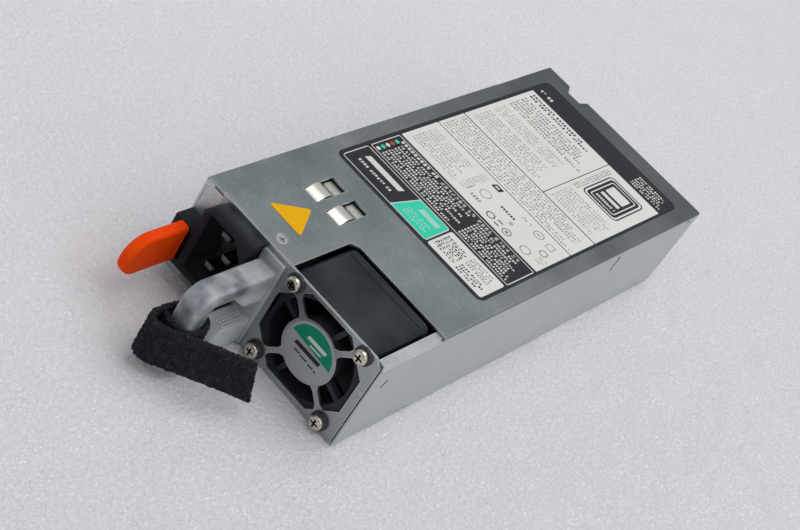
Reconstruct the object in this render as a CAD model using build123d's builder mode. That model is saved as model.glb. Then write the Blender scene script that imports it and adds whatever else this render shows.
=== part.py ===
from build123d import *
import os
from math import atan2, cos, degrees, pi, radians, sin, sqrt

# Sizes are in millimetres. The case lies on its largest face with its front towards -Y.
# The origin is the middle of the case's underside.

# Case
case_width = 86.0
case_height = 39.0
case_length = 201.5
sheet = 0.8
seam_drop = 1.3
seam_gap = 0.1
lip_width = 3.0
bend_radius = 1.0
panel_thickness = 0.9
panel_left_inset = 8.2
panel_right_gap = 0.5

# Fan, the square size that fills the case's height, at the right of the front
fan_height_room = 1.0
fan_depth = 28.0
fan_hole_inset = 3.0
fan_side_gap = 5.3
fan_floor_gap = 0.1
bore_wall = 1.3
flange_depth = 3.6
hub_share = 0.6
blade_tip_gap = 0.6
blade_count = 7
shaft_radius = 1.0
shaft_clearance = 0.04
grille_disc_overlap = 0.4
grille_side_room = 0.8
grille_top_cover = 1.4
grille_corner_share = 0.65
spoke_width = 2.0
grommet_radius = 3.4
screw_radius = 1.9

# Mains inlet, a standard upright three-pin recess
inlet_inset = 19.6
inlet_lift = 2.7
recess_width = 16.4
recess_height_room = 15.0
recess_depth = 16.0
recess_corner = 5.1
bezel_depth = 7.0
pin_pitch = 14.0
earth_offset = 4.0
pin_width = 4.0
pin_thickness = 2.0
pin_setback = 4.0

# Pull handle, a closed loop that stands upright between the inlet and the fan
handle_from_fan = 26.8
handle_width = 8.2
handle_reach = 34.2
handle_drop = 5.6
handle_bottom = 1.0
arm_thickness = 6.2
bar_depth = 7.2
sill_thickness = 3.6

# Hook-and-loop strap
strap_height_room = 6.6
strap_thickness = 2.0
strap_clearance = 0.4
tail_slant = 37.0
tail_length = 44.0

# Release latch
latch_inset = 5.1
latch_thickness = 2.0
latch_low = 11.2
latch_high = 22.4
pivot_back = 44.0
pivot_radius = 1.5
pivot_clearance = 0.05
latch_travel = 2.2
hook_reach = 1.0
tab_thickness = 4.4
tab_low = 9.1
tab_high = 24.7
tab_reach = 31.0

# Main board
board_thickness = 1.6
board_lift = 3.2
tongue_reach = 9.0
tongue_left = -30.0
tongue_right = 22.0
filter_length = 71.0

# Clearances between pieces that must not touch
fit = 0.1
slip = 0.3

side = case_width / 2
front = -case_length / 2
back = case_length / 2
inner_side = side - sheet
cover_low = case_height - sheet
seam_height = case_height - seam_drop
panel_left = panel_left_inset - side
fan_size = case_height - fan_height_room
fan_x = side - fan_side_gap - fan_size / 2
fan_z = sheet + fan_floor_gap + fan_size / 2
fan_front = panel_thickness + fit
fan_hole_pitch = fan_size - 2 * fan_hole_inset
bore_radius = fan_size / 2 - bore_wall
hub_radius = hub_share * (fan_size / 2 - 1.0)
grille_disc_radius = hub_radius + grille_disc_overlap
grille_half_width = fan_size / 2 + grille_side_room
grille_half_height = fan_size / 2 - grille_top_cover
grille_corner = grille_corner_share * fan_hole_pitch / 2
inlet_x = inlet_inset - side
inlet_z = case_height / 2 + inlet_lift
recess_height = case_height - recess_height_room
handle_x = side - fan_side_gap - 19.0 - handle_from_fan
handle_top = case_height - handle_drop
strap_width = handle_top - arm_thickness - handle_bottom - sill_thickness - strap_height_room
latch_x = latch_inset - side
board_low = sheet + board_lift
board_top = board_low + board_thickness
part_height = cover_low - board_top
stage_share = (case_length - filter_length) / 130.5


def upright(y):
    """A plane across the case at a distance behind its front, with its drawing in X and Z."""
    return Plane.XZ.offset(-(front + y))


def behind(y, x=0.0, z=0.0):
    """A plane across the case that faces the rear."""
    return Plane(origin=(x, front + y, z), x_dir=(1, 0, 0), z_dir=(0, 1, 0))


def along(y):
    """A place on the board behind the line filter, where the parts share the case's length."""
    return filter_length + (y - filter_length) * stage_share


def mirrored(points):
    """Half an outline and its mirror image, as one closed ring of points."""
    return points + [(-x, z) for x, z in reversed(points)]


os.makedirs("parts", exist_ok=True)

# Tray: floor and two side walls in one folded sheet, with lips that carry the cover
joggle = sheet + seam_gap
tray_half = [
    (side, 0),
    (side, seam_height),
    (side - joggle, seam_height),
    (side - joggle, cover_low),
    (side - joggle - lip_width, cover_low),
    (side - joggle - lip_width, cover_low - sheet),
    (side - joggle - sheet, cover_low - sheet),
    (side - joggle - sheet, cover_low - sheet - 0.6),
    (inner_side, cover_low - sheet - 1.4),
    (inner_side, sheet),
]
with BuildPart() as chassis_tray:
    with BuildSketch(upright(0)):
        with BuildLine():
            Polyline(*mirrored(tray_half), close=True)
        make_face()
    extrude(amount=-case_length)
    fillet(chassis_tray.edges().filter_by(Axis.Y).group_by(Axis.Z)[0], bend_radius)
    # The front panel stands between the walls, right of the left wall's own flange
    with BuildSketch(upright(0)):
        with Locations(((panel_left - fit + inner_side) / 2, case_height / 2)):
            Rectangle(inner_side - panel_left + fit, case_height + 2)
    extrude(amount=-panel_thickness - fit, mode=Mode.SUBTRACT)
    # Front flange of the left wall, notched for the latch
    with BuildSketch(upright(0.2)):
        with Locations(((panel_left - 0.2 - inner_side) / 2, (sheet + cover_low - sheet) / 2)):
            Rectangle(inner_side + panel_left - 0.2, cover_low - sheet - sheet)
        with Locations((latch_x + 1.0, (latch_low + latch_high) / 2)):
            Rectangle(5.4, latch_high - latch_low + 1.2, mode=Mode.SUBTRACT)
    extrude(amount=-sheet)
    # Window for the latch hook in the left wall
    with Locations((-side + sheet / 2, front + 6.2, 16.5)):
        Box(2 * sheet, 8.4, 8.8, mode=Mode.SUBTRACT)
    # Right wall: slanted slot, floor slot, tongue window, relief hole and rear notch
    with BuildSketch(Plane.YZ.offset(side - 2 * sheet)):
        with Locations((front + 6.6, case_height - 10.7)):
            SlotOverall(4.0, 1.2, rotation=60)
        with Locations((front + 37.0, 0.9)):
            Rectangle(2.6, 1.8)
        with Locations((front + along(144.0), cover_low - 6.7)):
            Rectangle(1.4, 8.0)
        with Locations((back - 6.5, case_height - 2.8)):
            Circle(0.9)
        with Locations((back - 8.5, 0.7)):
            Rectangle(1.6, 1.4)
    extrude(amount=3 * sheet, mode=Mode.SUBTRACT)
    with BuildSketch(Plane.YZ.offset(-side - sheet)):
        with Locations((front + along(144.0), cover_low - 6.7)):
            Rectangle(1.4, 8.0)
    extrude(amount=3 * sheet, mode=Mode.SUBTRACT)
    # Rounded lower rear corners of both walls
    rear_corners = chassis_tray.edges().filter_by(Axis.X).filter_by(
        lambda e: abs(e.center().Y - back) < 0.01 and abs(e.center().Z - cover_low) < 0.01
    )
    chamfer(rear_corners, lip_width / 3)
chassis_tray.part.label = "chassis_tray"
export_step(chassis_tray.part, "parts/chassis_tray.step")

# Cover: a lid with a short hem each side, open over the fan
cover_left_window = inlet_x - 0.5
window_spacing = 11.2
window_width = 7.0
window_length = 15.6
window_back = 38.9
screw_x = handle_x - 3.8
screw_back = 5.3
fan_opening_left = fan_x - fan_size / 2 - 1.3
fan_opening_back = 31.2
cover_half = [
    (side, seam_height + seam_gap),
    (side, case_height),
]
cover_inner = [
    (-inner_side, seam_height + seam_gap),
    (-inner_side, cover_low),
    (inner_side, cover_low),
    (inner_side, seam_height + seam_gap),
]
with BuildPart() as top_cover:
    with BuildSketch(upright(0)):
        with BuildLine():
            Polyline(*mirrored(cover_half), *cover_inner, close=True)
        make_face()
    extrude(amount=-case_length)
    fillet(
        top_cover.edges().filter_by(Axis.Y).group_by(Axis.Z)[-1],
        bend_radius * 0.75,
    )
    with BuildSketch(Plane.XY.offset(seam_height - 1)):
        with BuildLine():
            Polyline(
                (fan_opening_left, front - 1),
                (fan_opening_left, front + fan_opening_back - 2.3),
                (fan_opening_left + 3.0, front + fan_opening_back),
                (side + 1, front + fan_opening_back),
                (side + 1, front - 1),
                close=True,
            )
        make_face()
        # Room for the top edge of the front panel
        with Locations(((panel_left + fan_opening_left) / 2, front + (panel_thickness + fit) / 2 - 0.5)):
            Rectangle(fan_opening_left - panel_left, panel_thickness + fit + 1)
        with Locations(
            (cover_left_window, front + window_back),
            (cover_left_window + window_spacing, front + window_back),
        ):
            Rectangle(window_width, window_length)
        # Keying notch in the rear edge
        with BuildLine():
            Polyline(
                (-31.6, back + 1),
                (-28.4, back - 4.4),
                (-22.2, back - 4.4),
                (-20.4, back + 1),
                close=True,
            )
        make_face()
    extrude(amount=case_height - seam_height + 2, mode=Mode.SUBTRACT)
    # Long slot in the left bend
    with Locations((-side, front + along(171.4), case_height)):
        Box(1.2, 17.0 * stage_share, 1.4, mode=Mode.SUBTRACT)
    # Countersunk seat of the cover screw
    with Locations((screw_x, front + screw_back, case_height)):
        CounterSinkHole(1.5, 2.5, depth=4, counter_sink_angle=100)
top_cover.part.label = "top_cover"
export_step(top_cover.part, "parts/top_cover.step")

with BuildPart() as cover_screw:
    with BuildSketch(Plane.XZ.offset(-(front + screw_back))):
        with BuildLine():
            Polyline(
                (screw_x, case_height - 0.15),
                (screw_x + 2.2, case_height - 0.15),
                (screw_x + 1.3, case_height - 0.9),
                (screw_x + 1.3, case_height - 4.2),
                (screw_x, case_height - 4.6),
                close=True,
            )
        make_face()
    revolve(axis=Axis((screw_x, front + screw_back, 0), (0, 0, 1)))
    with Locations((screw_x, front + screw_back, case_height - 0.45)):
        Box(2.4, 0.5, 0.8, mode=Mode.SUBTRACT)
        Box(0.5, 2.4, 0.8, mode=Mode.SUBTRACT)
cover_screw.part.label = "cover_screw"
export_step(cover_screw.part, "parts/cover_screw.step")

# Bowed contact springs that rise through the two windows
spring_thickness = 0.4
crest_height = case_height + 0.55
spring_line = [
    (window_back - 10.4, cover_low - spring_thickness),
    (window_back - 8.2, cover_low - spring_thickness),
    (window_back - 6.2, cover_low - 0.1),
    (window_back - 2.4, crest_height - spring_thickness),
    (window_back + 1.4, cover_low - 0.1),
    (window_back + 3.6, cover_low - 1.0),
    (window_back + 9.6, cover_low - 1.0),
]
for place, name in enumerate(("contact_spring_left", "contact_spring_right")):
    spring_x = cover_left_window + place * window_spacing
    with BuildPart() as contact_spring:
        with BuildSketch(Plane.YZ.offset(spring_x - window_width / 2 + slip)):
            with BuildLine():
                low = [(front + y, z) for y, z in spring_line]
                high = [(front + y, z + spring_thickness) for y, z in spring_line]
                Polyline(*low[:2])
                Spline(*low[1:6], tangents=((1, 0), (1, 0)))
                Polyline(*low[5:])
                Line(low[-1], high[-1])
                Polyline(*high[5:])
                Spline(*high[1:6], tangents=((1, 0), (1, 0)))
                Polyline(*high[:2])
                Line(high[0], low[0])
            make_face()
        extrude(amount=window_width - 2 * slip)
    contact_spring.part.label = name
    export_step(contact_spring.part, f"parts/{name}.step")

# Front panel: one sheet with the fan grille, the inlet opening and the cover's screw ear
body_width = recess_width + 3.2
body_height = recess_height + 3.2
panel_right = inner_side - panel_right_gap
led_z = handle_top - 3.0
snap_heights = (7.0, 15.5)
panel_outline = [
    (panel_left, 0.2),
    (panel_right, 0.2),
    (panel_right, case_height - 2.4),
    (panel_right - 3.2, case_height - 0.1),
    (panel_left, case_height - 0.1),
]
grille_opening = [
    (grille_half_width, grille_half_height - grille_corner + 0.3),
    (grille_half_width - grille_corner, grille_half_height),
    (-grille_half_width + grille_corner, grille_half_height),
    (-grille_half_width, grille_half_height - grille_corner + 0.3),
]
grille_opening += [(x, -z) for x, z in reversed(grille_opening)]
spoke_start = grille_disc_radius - 1.0
spoke_end = sqrt(2) * (grille_half_width + grille_half_height - grille_corner) / 2 + 0.6
spoke_outline = [
    (spoke_start, spoke_width),
    (spoke_start + 2.6, spoke_width / 2),
    (spoke_end - 2.4, spoke_width / 2),
    (spoke_end, spoke_width * 1.1),
]
spoke_outline += [(x, -z) for x, z in reversed(spoke_outline)]
with BuildPart() as front_panel:
    with BuildSketch(upright(0)):
        with BuildLine():
            Polyline(*panel_outline, close=True)
        make_face()
        with Locations((fan_x, fan_z)):
            with BuildLine(mode=Mode.PRIVATE) as opening_line:
                Polyline(*grille_opening, close=True)
            add(make_face(opening_line.edges(), mode=Mode.PRIVATE), mode=Mode.SUBTRACT)
            Circle(grille_disc_radius)
            with BuildLine(mode=Mode.PRIVATE) as spoke_line:
                Polyline(*spoke_outline, close=True)
            spoke = make_face(spoke_line.edges(), mode=Mode.PRIVATE)
            for turn in range(4):
                add(spoke.rotate(Axis.Z, 45 + 90 * turn))
            with GridLocations(fan_hole_pitch, fan_hole_pitch, 2, 2):
                Circle(grommet_radius - 0.8, mode=Mode.SUBTRACT)
        with Locations((inlet_x, inlet_z)):
            Rectangle(body_width + 2 * fit, body_height + 2 * fit, mode=Mode.SUBTRACT)
        with Locations((handle_x, led_z)):
            Rectangle(4.4, 3.4, mode=Mode.SUBTRACT)
        with Locations(*[(handle_x, z) for z in snap_heights]):
            Rectangle(4.2, 3.2, mode=Mode.SUBTRACT)
    extrude(amount=-panel_thickness)
    # Ear folded back under the cover, tapped for its screw
    with Locations((screw_x, front + screw_back + 0.9, cover_low - sheet / 2)):
        Box(9.0, 2 * screw_back - 2 * panel_thickness + 1.8, sheet)
    with Locations((screw_x, front + screw_back, cover_low)):
        Hole(1.4, depth=sheet)
front_panel.part.label = "front_panel"
export_step(front_panel.part, "parts/front_panel.step")

# Rear panel: vented sheet with the slot for the board's tongue
rear_inset = 1.0
vent_pitch = 6.0
vent_radius = 2.4
slot_margin = 1.0
with BuildPart() as rear_panel:
    with BuildSketch(upright(case_length - rear_inset - sheet)):
        with Locations((0, (cover_low + sheet) / 2)):
            Rectangle(2 * inner_side - 2 * fit, cover_low - sheet)
        for x_side in (-1, 1):
            with Locations((x_side * (inner_side - (lip_width + joggle) / 2), cover_low - sheet)):
                Rectangle(lip_width + joggle + 0.6, 3.0, mode=Mode.SUBTRACT)
        with Locations(((tongue_left + tongue_right) / 2, board_low + board_thickness / 2)):
            Rectangle(
                tongue_right - tongue_left + 2 * slot_margin,
                board_thickness + 2 * slot_margin,
                mode=Mode.SUBTRACT,
            )
        with Locations((0, (cover_low + sheet) / 2 + 1.0)):
            with HexLocations(vent_radius + 0.55, 12, 4):
                RegularPolygon(vent_radius, 6, rotation=30, mode=Mode.SUBTRACT)
        with Locations((-26.0, cover_low - 1.5)):
            Rectangle(11.6, 6.0, mode=Mode.SUBTRACT)
    extrude(amount=-sheet)
rear_panel.part.label = "rear_panel"
export_step(rear_panel.part, "parts/rear_panel.step")

# Fan frame: square flanges, round bore, and a motor base held by four struts at the front
base_depth = 2.4
tube_radius = hub_radius / 3
bearing_radius = tube_radius - 0.6
motor_front = fan_front + 0.5
strut_turn = 22.0
strut_reach = bore_radius + 0.4
with BuildPart() as fan_frame:
    with BuildSketch(behind(fan_front, fan_x, fan_z)):
        RectangleRounded(fan_size, fan_size, 3.0)
        Circle(bore_radius, mode=Mode.SUBTRACT)
        with GridLocations(fan_hole_pitch, fan_hole_pitch, 2, 2):
            Circle(screw_radius + fit, mode=Mode.SUBTRACT)
    extrude(amount=flange_depth)
    with BuildSketch(behind(fan_front + flange_depth, fan_x, fan_z)):
        Rectangle(fan_size - 0.8, fan_size - 0.8)
        Circle(fan_hole_pitch / sqrt(2) - screw_radius - slip, mode=Mode.INTERSECT)
        Circle(bore_radius, mode=Mode.SUBTRACT)
    extrude(amount=fan_depth - 2 * flange_depth)
    with BuildSketch(behind(fan_front + fan_depth - flange_depth, fan_x, fan_z)):
        RectangleRounded(fan_size, fan_size, 3.0)
        Circle(bore_radius, mode=Mode.SUBTRACT)
        with GridLocations(fan_hole_pitch, fan_hole_pitch, 2, 2):
            Circle(screw_radius + fit, mode=Mode.SUBTRACT)
    extrude(amount=flange_depth)
    # Rounded mouth at the rear, where the air comes in
    mouth = fan_frame.edges().filter_by(GeomType.CIRCLE).filter_by(
        lambda e: abs(e.radius - bore_radius) < 0.01
    )
    fillet(mouth.sort_by(Axis.Y)[-1], 0.9)
    with BuildSketch(behind(motor_front, fan_x, fan_z)):
        Circle(hub_radius)
        with PolarLocations(0, 4, start_angle=strut_turn):
            with Locations(((hub_radius + strut_reach) / 2 - 0.5, 0)):
                Rectangle(strut_reach - hub_radius + 1.0, 1.8)
    extrude(amount=base_depth)
    with BuildSketch(behind(motor_front + base_depth, fan_x, fan_z)):
        Circle(tube_radius)
    extrude(amount=fan_depth * 0.5)
    with BuildSketch(behind(motor_front + 0.8, fan_x, fan_z)):
        Circle(bearing_radius)
    extrude(amount=fan_depth, mode=Mode.SUBTRACT)
fan_frame.part.label = "fan_frame"
export_step(fan_frame.part, "parts/fan_frame.step")

bearing_front = motor_front + 1.4
bearing_length = fan_depth * 0.5
with BuildPart() as fan_bearing:
    with BuildSketch(behind(bearing_front, fan_x, fan_z)):
        Circle(bearing_radius - 0.02)
        Circle(shaft_radius + shaft_clearance, mode=Mode.SUBTRACT)
    extrude(amount=bearing_length)
fan_bearing.part.label = "fan_bearing"
export_step(fan_bearing.part, "parts/fan_bearing.step")

# Motor: four-pole core on the bearing tube, a coil on each pole, a ring magnet in the hub
core_radius = hub_radius / 1.35
pole_shoe = 0.9
core_front = motor_front + base_depth + 2.6
core_depth = 6.0
pole_width = 2.6
with BuildPart() as fan_stator:
    with BuildSketch(behind(core_front, fan_x, fan_z)):
        Circle(tube_radius + 1.0)
        with PolarLocations(0, 4):
            with Locations((core_radius / 2, 0)):
                Rectangle(core_radius, pole_width)
        with BuildSketch(mode=Mode.PRIVATE) as pole_shoes:
            Circle(core_radius)
            Circle(core_radius - pole_shoe, mode=Mode.SUBTRACT)
            with PolarLocations(0, 4, start_angle=45):
                with Locations((core_radius, 0)):
                    Rectangle(2 * 1.6 + core_radius * 0.5, 3.0, mode=Mode.SUBTRACT)
        add(pole_shoes.sketch)
        Circle(core_radius, mode=Mode.INTERSECT)
        Circle(tube_radius + 0.02, mode=Mode.SUBTRACT)
    extrude(amount=core_depth)
fan_stator.part.label = "fan_stator"
export_step(fan_stator.part, "parts/fan_stator.step")

coil_start = tube_radius + 1.4
coil_reach = core_radius - pole_shoe - 0.6 - coil_start
with BuildPart() as fan_windings:
    for turn in range(4):
        angle = radians(90 * turn)
        reach = coil_start + coil_reach / 2
        place = Plane(
            origin=(fan_x + reach * cos(angle), front + core_front + core_depth / 2, fan_z + reach * sin(angle)),
            x_dir=(0, 1, 0),
            z_dir=(cos(angle), 0, sin(angle)),
        )
        with BuildSketch(place.offset(-coil_reach / 2)):
            Rectangle(core_depth + 1.6, pole_width + 1.6)
            Rectangle(core_depth, pole_width, mode=Mode.SUBTRACT)
        extrude(amount=coil_reach)
fan_windings.part.label = "fan_windings"
export_step(fan_windings.part, "parts/fan_windings.step")

# Fan rotor: a cup with twisted, cambered blades
cup_front = motor_front + base_depth + 0.7
cup_back = fan_front + fan_depth - 2.0
cup_wall = 1.0
blade_front = cup_front + 0.8
blade_back = cup_back - 1.0
tip_radius = bore_radius - blade_tip_gap
rotor_axis = Axis((fan_x, 0, fan_z), (0, 1, 0))


def blade_section(radius, swing, camber, thickness):
    """A cambered blade section seen along the blade: swing is its half width round the axis."""
    place = Plane(origin=(fan_x + radius, front, fan_z), x_dir=(0, 1, 0), z_dir=(1, 0, 0))
    middle = (blade_front + blade_back) / 2
    slant = atan2(2 * swing, blade_back - blade_front)
    across = (-sin(slant), cos(slant))
    lead = (blade_front, -swing)
    trail = (blade_back, swing)
    outer = (middle + across[0] * (camber + thickness), across[1] * (camber + thickness))
    inner = (middle + across[0] * camber, across[1] * camber)
    with BuildSketch(place) as section:
        with BuildLine():
            ThreePointArc(lead, outer, trail)
            ThreePointArc(trail, inner, lead)
        make_face()
    return section.sketch


with BuildPart() as fan_rotor:
    root = blade_section(hub_radius - 0.6, 3.4, 0.9, 1.3)
    tip = blade_section(tip_radius + 0.8, 6.0, 1.7, 0.9)
    blade = loft([root.face(), tip.face()], mode=Mode.PRIVATE)
    for turn in range(blade_count):
        add(blade.rotate(rotor_axis, 360 / blade_count * turn))
    with BuildSketch(behind(0, fan_x, fan_z)):
        Circle(tip_radius)
    extrude(amount=fan_depth + 4, mode=Mode.INTERSECT)
    with BuildSketch(behind(cup_front, fan_x, fan_z)):
        Circle(hub_radius)
    extrude(amount=cup_back - cup_front)
    with BuildSketch(behind(cup_front - 1, fan_x, fan_z)):
        Circle(hub_radius - cup_wall)
    extrude(amount=cup_back - cup_front - cup_wall + 1, mode=Mode.SUBTRACT)
    with BuildSketch(behind(cup_back - 4.2, fan_x, fan_z)):
        Circle(2.4)
        Circle(shaft_radius, mode=Mode.SUBTRACT)
    extrude(amount=4.2 - cup_wall)
    fillet(
        fan_rotor.edges()
        .filter_by(GeomType.CIRCLE)
        .filter_by(lambda e: abs(e.radius - hub_radius) < 0.01)
        .sort_by(Axis.Y)[-1],
        0.6,
    )
fan_rotor.part.label = "fan_rotor"
export_step(fan_rotor.part, "parts/fan_rotor.step")

with BuildPart() as fan_magnet:
    with BuildSketch(behind(core_front - 0.8, fan_x, fan_z)):
        Circle(hub_radius - cup_wall - 0.02)
        Circle(1.075 * core_radius, mode=Mode.SUBTRACT)
    extrude(amount=core_depth + 1.6)
fan_magnet.part.label = "fan_magnet"
export_step(fan_magnet.part, "parts/fan_magnet.step")

with BuildPart() as fan_shaft:
    with BuildSketch(behind(bearing_front + 0.6, fan_x, fan_z)):
        Circle(shaft_radius)
    extrude(amount=cup_back - cup_wall - bearing_front - 0.6)
fan_shaft.part.label = "fan_shaft"
export_step(fan_shaft.part, "parts/fan_shaft.step")

# Fan mounting: rubber grommets in the panel and a pan-head screw through each
grommet_stand = 1.1
head_radius = 2.7
head_height = 1.9
with BuildPart() as fan_grommets:
    with BuildSketch(upright(0)):
        with Locations((fan_x, fan_z)):
            with GridLocations(fan_hole_pitch, fan_hole_pitch, 2, 2):
                Circle(grommet_radius)
                Circle(screw_radius + fit, mode=Mode.SUBTRACT)
    extrude(amount=grommet_stand)
    fillet(
        fan_grommets.edges()
        .filter_by(GeomType.CIRCLE)
        .filter_by(lambda e: abs(e.radius - grommet_radius) < 0.01)
        .group_by(Axis.Y)[0],
        0.4,
    )
    with BuildSketch(upright(0)):
        with Locations((fan_x, fan_z)):
            with GridLocations(fan_hole_pitch, fan_hole_pitch, 2, 2):
                Circle(grommet_radius - 0.8 - fit)
                Circle(screw_radius + fit, mode=Mode.SUBTRACT)
    extrude(amount=-panel_thickness)
fan_grommets.part.label = "fan_grommets"
export_step(fan_grommets.part, "parts/fan_grommets.step")

with BuildPart() as fan_screws:
    with BuildSketch(upright(-grommet_stand)):
        with Locations((fan_x, fan_z)):
            with GridLocations(fan_hole_pitch, fan_hole_pitch, 2, 2):
                Circle(head_radius)
    extrude(amount=head_height)
    fillet(fan_screws.edges().filter_by(GeomType.CIRCLE).group_by(Axis.Y)[0], 1.0)
    with BuildSketch(upright(-grommet_stand)):
        with Locations((fan_x, fan_z)):
            with GridLocations(fan_hole_pitch, fan_hole_pitch, 2, 2):
                Circle(screw_radius)
    extrude(amount=-(grommet_stand + fan_front + flange_depth + 2))
    with BuildSketch(upright(-grommet_stand - head_height)):
        with Locations((fan_x, fan_z)):
            with GridLocations(fan_hole_pitch, fan_hole_pitch, 2, 2):
                Rectangle(3.2, 0.7)
                Rectangle(0.7, 3.2)
    extrude(amount=-1.1, mode=Mode.SUBTRACT)
fan_screws.part.label = "fan_screws"
export_step(fan_screws.part, "parts/fan_screws.step")

# Thin stickers
label_thickness = 0.12
label_front = 57.6
label_back = 9.5
with BuildPart() as rating_label:
    with BuildSketch(Plane.XY.offset(case_height)):
        with Locations((0.1, (front + label_front + back - label_back) / 2)):
            RectangleRounded(case_width - 12.6, case_length - label_front - label_back, 3.0)
    extrude(amount=label_thickness)
rating_label.part.label = "rating_label"
export_step(rating_label.part, "parts/rating_label.step")

with BuildPart() as notice_sticker:
    with BuildSketch(Plane.XY.offset(case_height)):
        with BuildLine():
            FilletPolyline(
                (inlet_x - 2.9, front + 12.8),
                (inlet_x + 13.0, front + 12.8),
                (inlet_x + 5.05, front + 26.3),
                radius=0.8,
                close=True,
            )
        make_face()
    extrude(amount=label_thickness)
notice_sticker.part.label = "notice_sticker"
export_step(notice_sticker.part, "parts/notice_sticker.step")

with BuildPart() as fan_label:
    with BuildSketch(upright(0)):
        with Locations((fan_x + 0.3, fan_z + 0.2)):
            Circle(grille_disc_radius - 0.8)
    extrude(amount=label_thickness)
fan_label.part.label = "fan_label"
export_step(fan_label.part, "parts/fan_label.step")

# Mains inlet: one moulding, the bezel with a guard for the latch beside it
bezel_left = panel_left - 0.4
bezel_right = inlet_x + 10.0
bezel_low = 8.4
bezel_high = case_height - 1.6
guard_left = slip - side
guard_high = 24.8
recess_side = recess_width / 2
recess_end = recess_height / 2
recess_outline = [
    (inlet_x - recess_side, inlet_z - recess_end),
    (inlet_x + recess_side - recess_corner, inlet_z - recess_end),
    (inlet_x + recess_side, inlet_z - recess_end + recess_corner),
    (inlet_x + recess_side, inlet_z + recess_end - recess_corner),
    (inlet_x + recess_side - recess_corner, inlet_z + recess_end),
    (inlet_x - recess_side, inlet_z + recess_end),
]
with BuildPart() as inlet_housing:
    with BuildSketch(upright(0)):
        with BuildLine():
            Polyline(
                (guard_left, bezel_low),
                (bezel_right, bezel_low),
                (bezel_right, bezel_high),
                (bezel_left + 3.2, bezel_high),
                (bezel_left, bezel_high - 4.0),
                (bezel_left, guard_high),
                (guard_left, guard_high),
                close=True,
            )
        make_face()
    extrude(amount=bezel_depth)
    rim = inlet_housing.edges().filter_by(
        lambda e: abs(e.center().Y - (front - bezel_depth)) < 0.01
        and e.center().Z > guard_high + 0.1
        and e.center().X < bezel_right - 0.01
    )
    chamfer(rim, 1.0)
    with BuildSketch(upright(0)):
        with Locations((inlet_x, inlet_z)):
            Rectangle(body_width, body_height)
    extrude(amount=-(recess_depth - bezel_depth + 3.0))
    with BuildSketch(upright(-bezel_depth)):
        with BuildLine():
            FilletPolyline(*recess_outline, radius=1.0, close=True)
        make_face()
    extrude(amount=-recess_depth, mode=Mode.SUBTRACT)
    # Sloping mouth round the recess
    mouth_edges = inlet_housing.edges().filter_by(
        lambda e: abs(e.center().Y - (front - bezel_depth)) < 0.01
        and abs(e.center().X - inlet_x) < recess_side + 0.2
        and abs(e.center().Z - inlet_z) < recess_end + 0.2
    )
    chamfer(mouth_edges, 0.8)
    # Slot for the latch through the guard
    with BuildSketch(upright(-bezel_depth)):
        with Locations((latch_x + 1.0, (latch_low + latch_high) / 2)):
            Rectangle(5.2, latch_high - latch_low + 1.0)
    extrude(amount=-bezel_depth, mode=Mode.SUBTRACT)
    # Holes for the three pins through the back wall
    with BuildSketch(upright(recess_depth - bezel_depth)):
        with Locations(
            (inlet_x - earth_offset / 2, inlet_z - pin_pitch / 2),
            (inlet_x - earth_offset / 2, inlet_z + pin_pitch / 2),
            (inlet_x + earth_offset / 2, inlet_z),
        ):
            Rectangle(pin_width, pin_thickness)
    extrude(amount=-3.0, mode=Mode.SUBTRACT)
inlet_housing.part.label = "inlet_housing"
export_step(inlet_housing.part, "parts/inlet_housing.step")

pin_places = (
    (inlet_x - earth_offset / 2, inlet_z - pin_pitch / 2),
    (inlet_x - earth_offset / 2, inlet_z + pin_pitch / 2),
    (inlet_x + earth_offset / 2, inlet_z),
)
pin_back = recess_depth - bezel_depth + 5.5
with BuildPart() as inlet_pins:
    with BuildSketch(upright(pin_setback - bezel_depth)):
        with Locations(*pin_places):
            Rectangle(pin_width, pin_thickness)
    extrude(amount=-(pin_back - pin_setback + bezel_depth))
    pin_ends = inlet_pins.edges().filter_by(
        lambda e: abs(e.center().Y - (front + pin_setback - bezel_depth)) < 0.01
    )
    chamfer(pin_ends, 0.5)
inlet_pins.part.label = "inlet_pins"
export_step(inlet_pins.part, "parts/inlet_pins.step")

lead_radius = 1.2
lead_ends = (inlet_x - 5.6, inlet_x - 0.6, inlet_x + 10.4)
with BuildPart() as inlet_leads:
    for (pin_x, pin_z), end_x in zip(pin_places, lead_ends):
        route = [
            (pin_x, front + pin_back, pin_z),
            (pin_x, front + pin_back + 5.0, pin_z),
            (end_x, front + 28.0, (pin_z + board_top) / 2),
            (end_x, front + 28.0, board_top),
        ]
        with BuildLine() as path:
            FilletPolyline(*route, radius=2.6)
        with BuildSketch(Plane(origin=route[0], z_dir=(0, 1, 0))):
            Circle(min(lead_radius, pin_thickness / 2))
        sweep(path=path.wire())
inlet_leads.part.label = "inlet_leads"
export_step(inlet_leads.part, "parts/inlet_leads.step")

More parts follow.
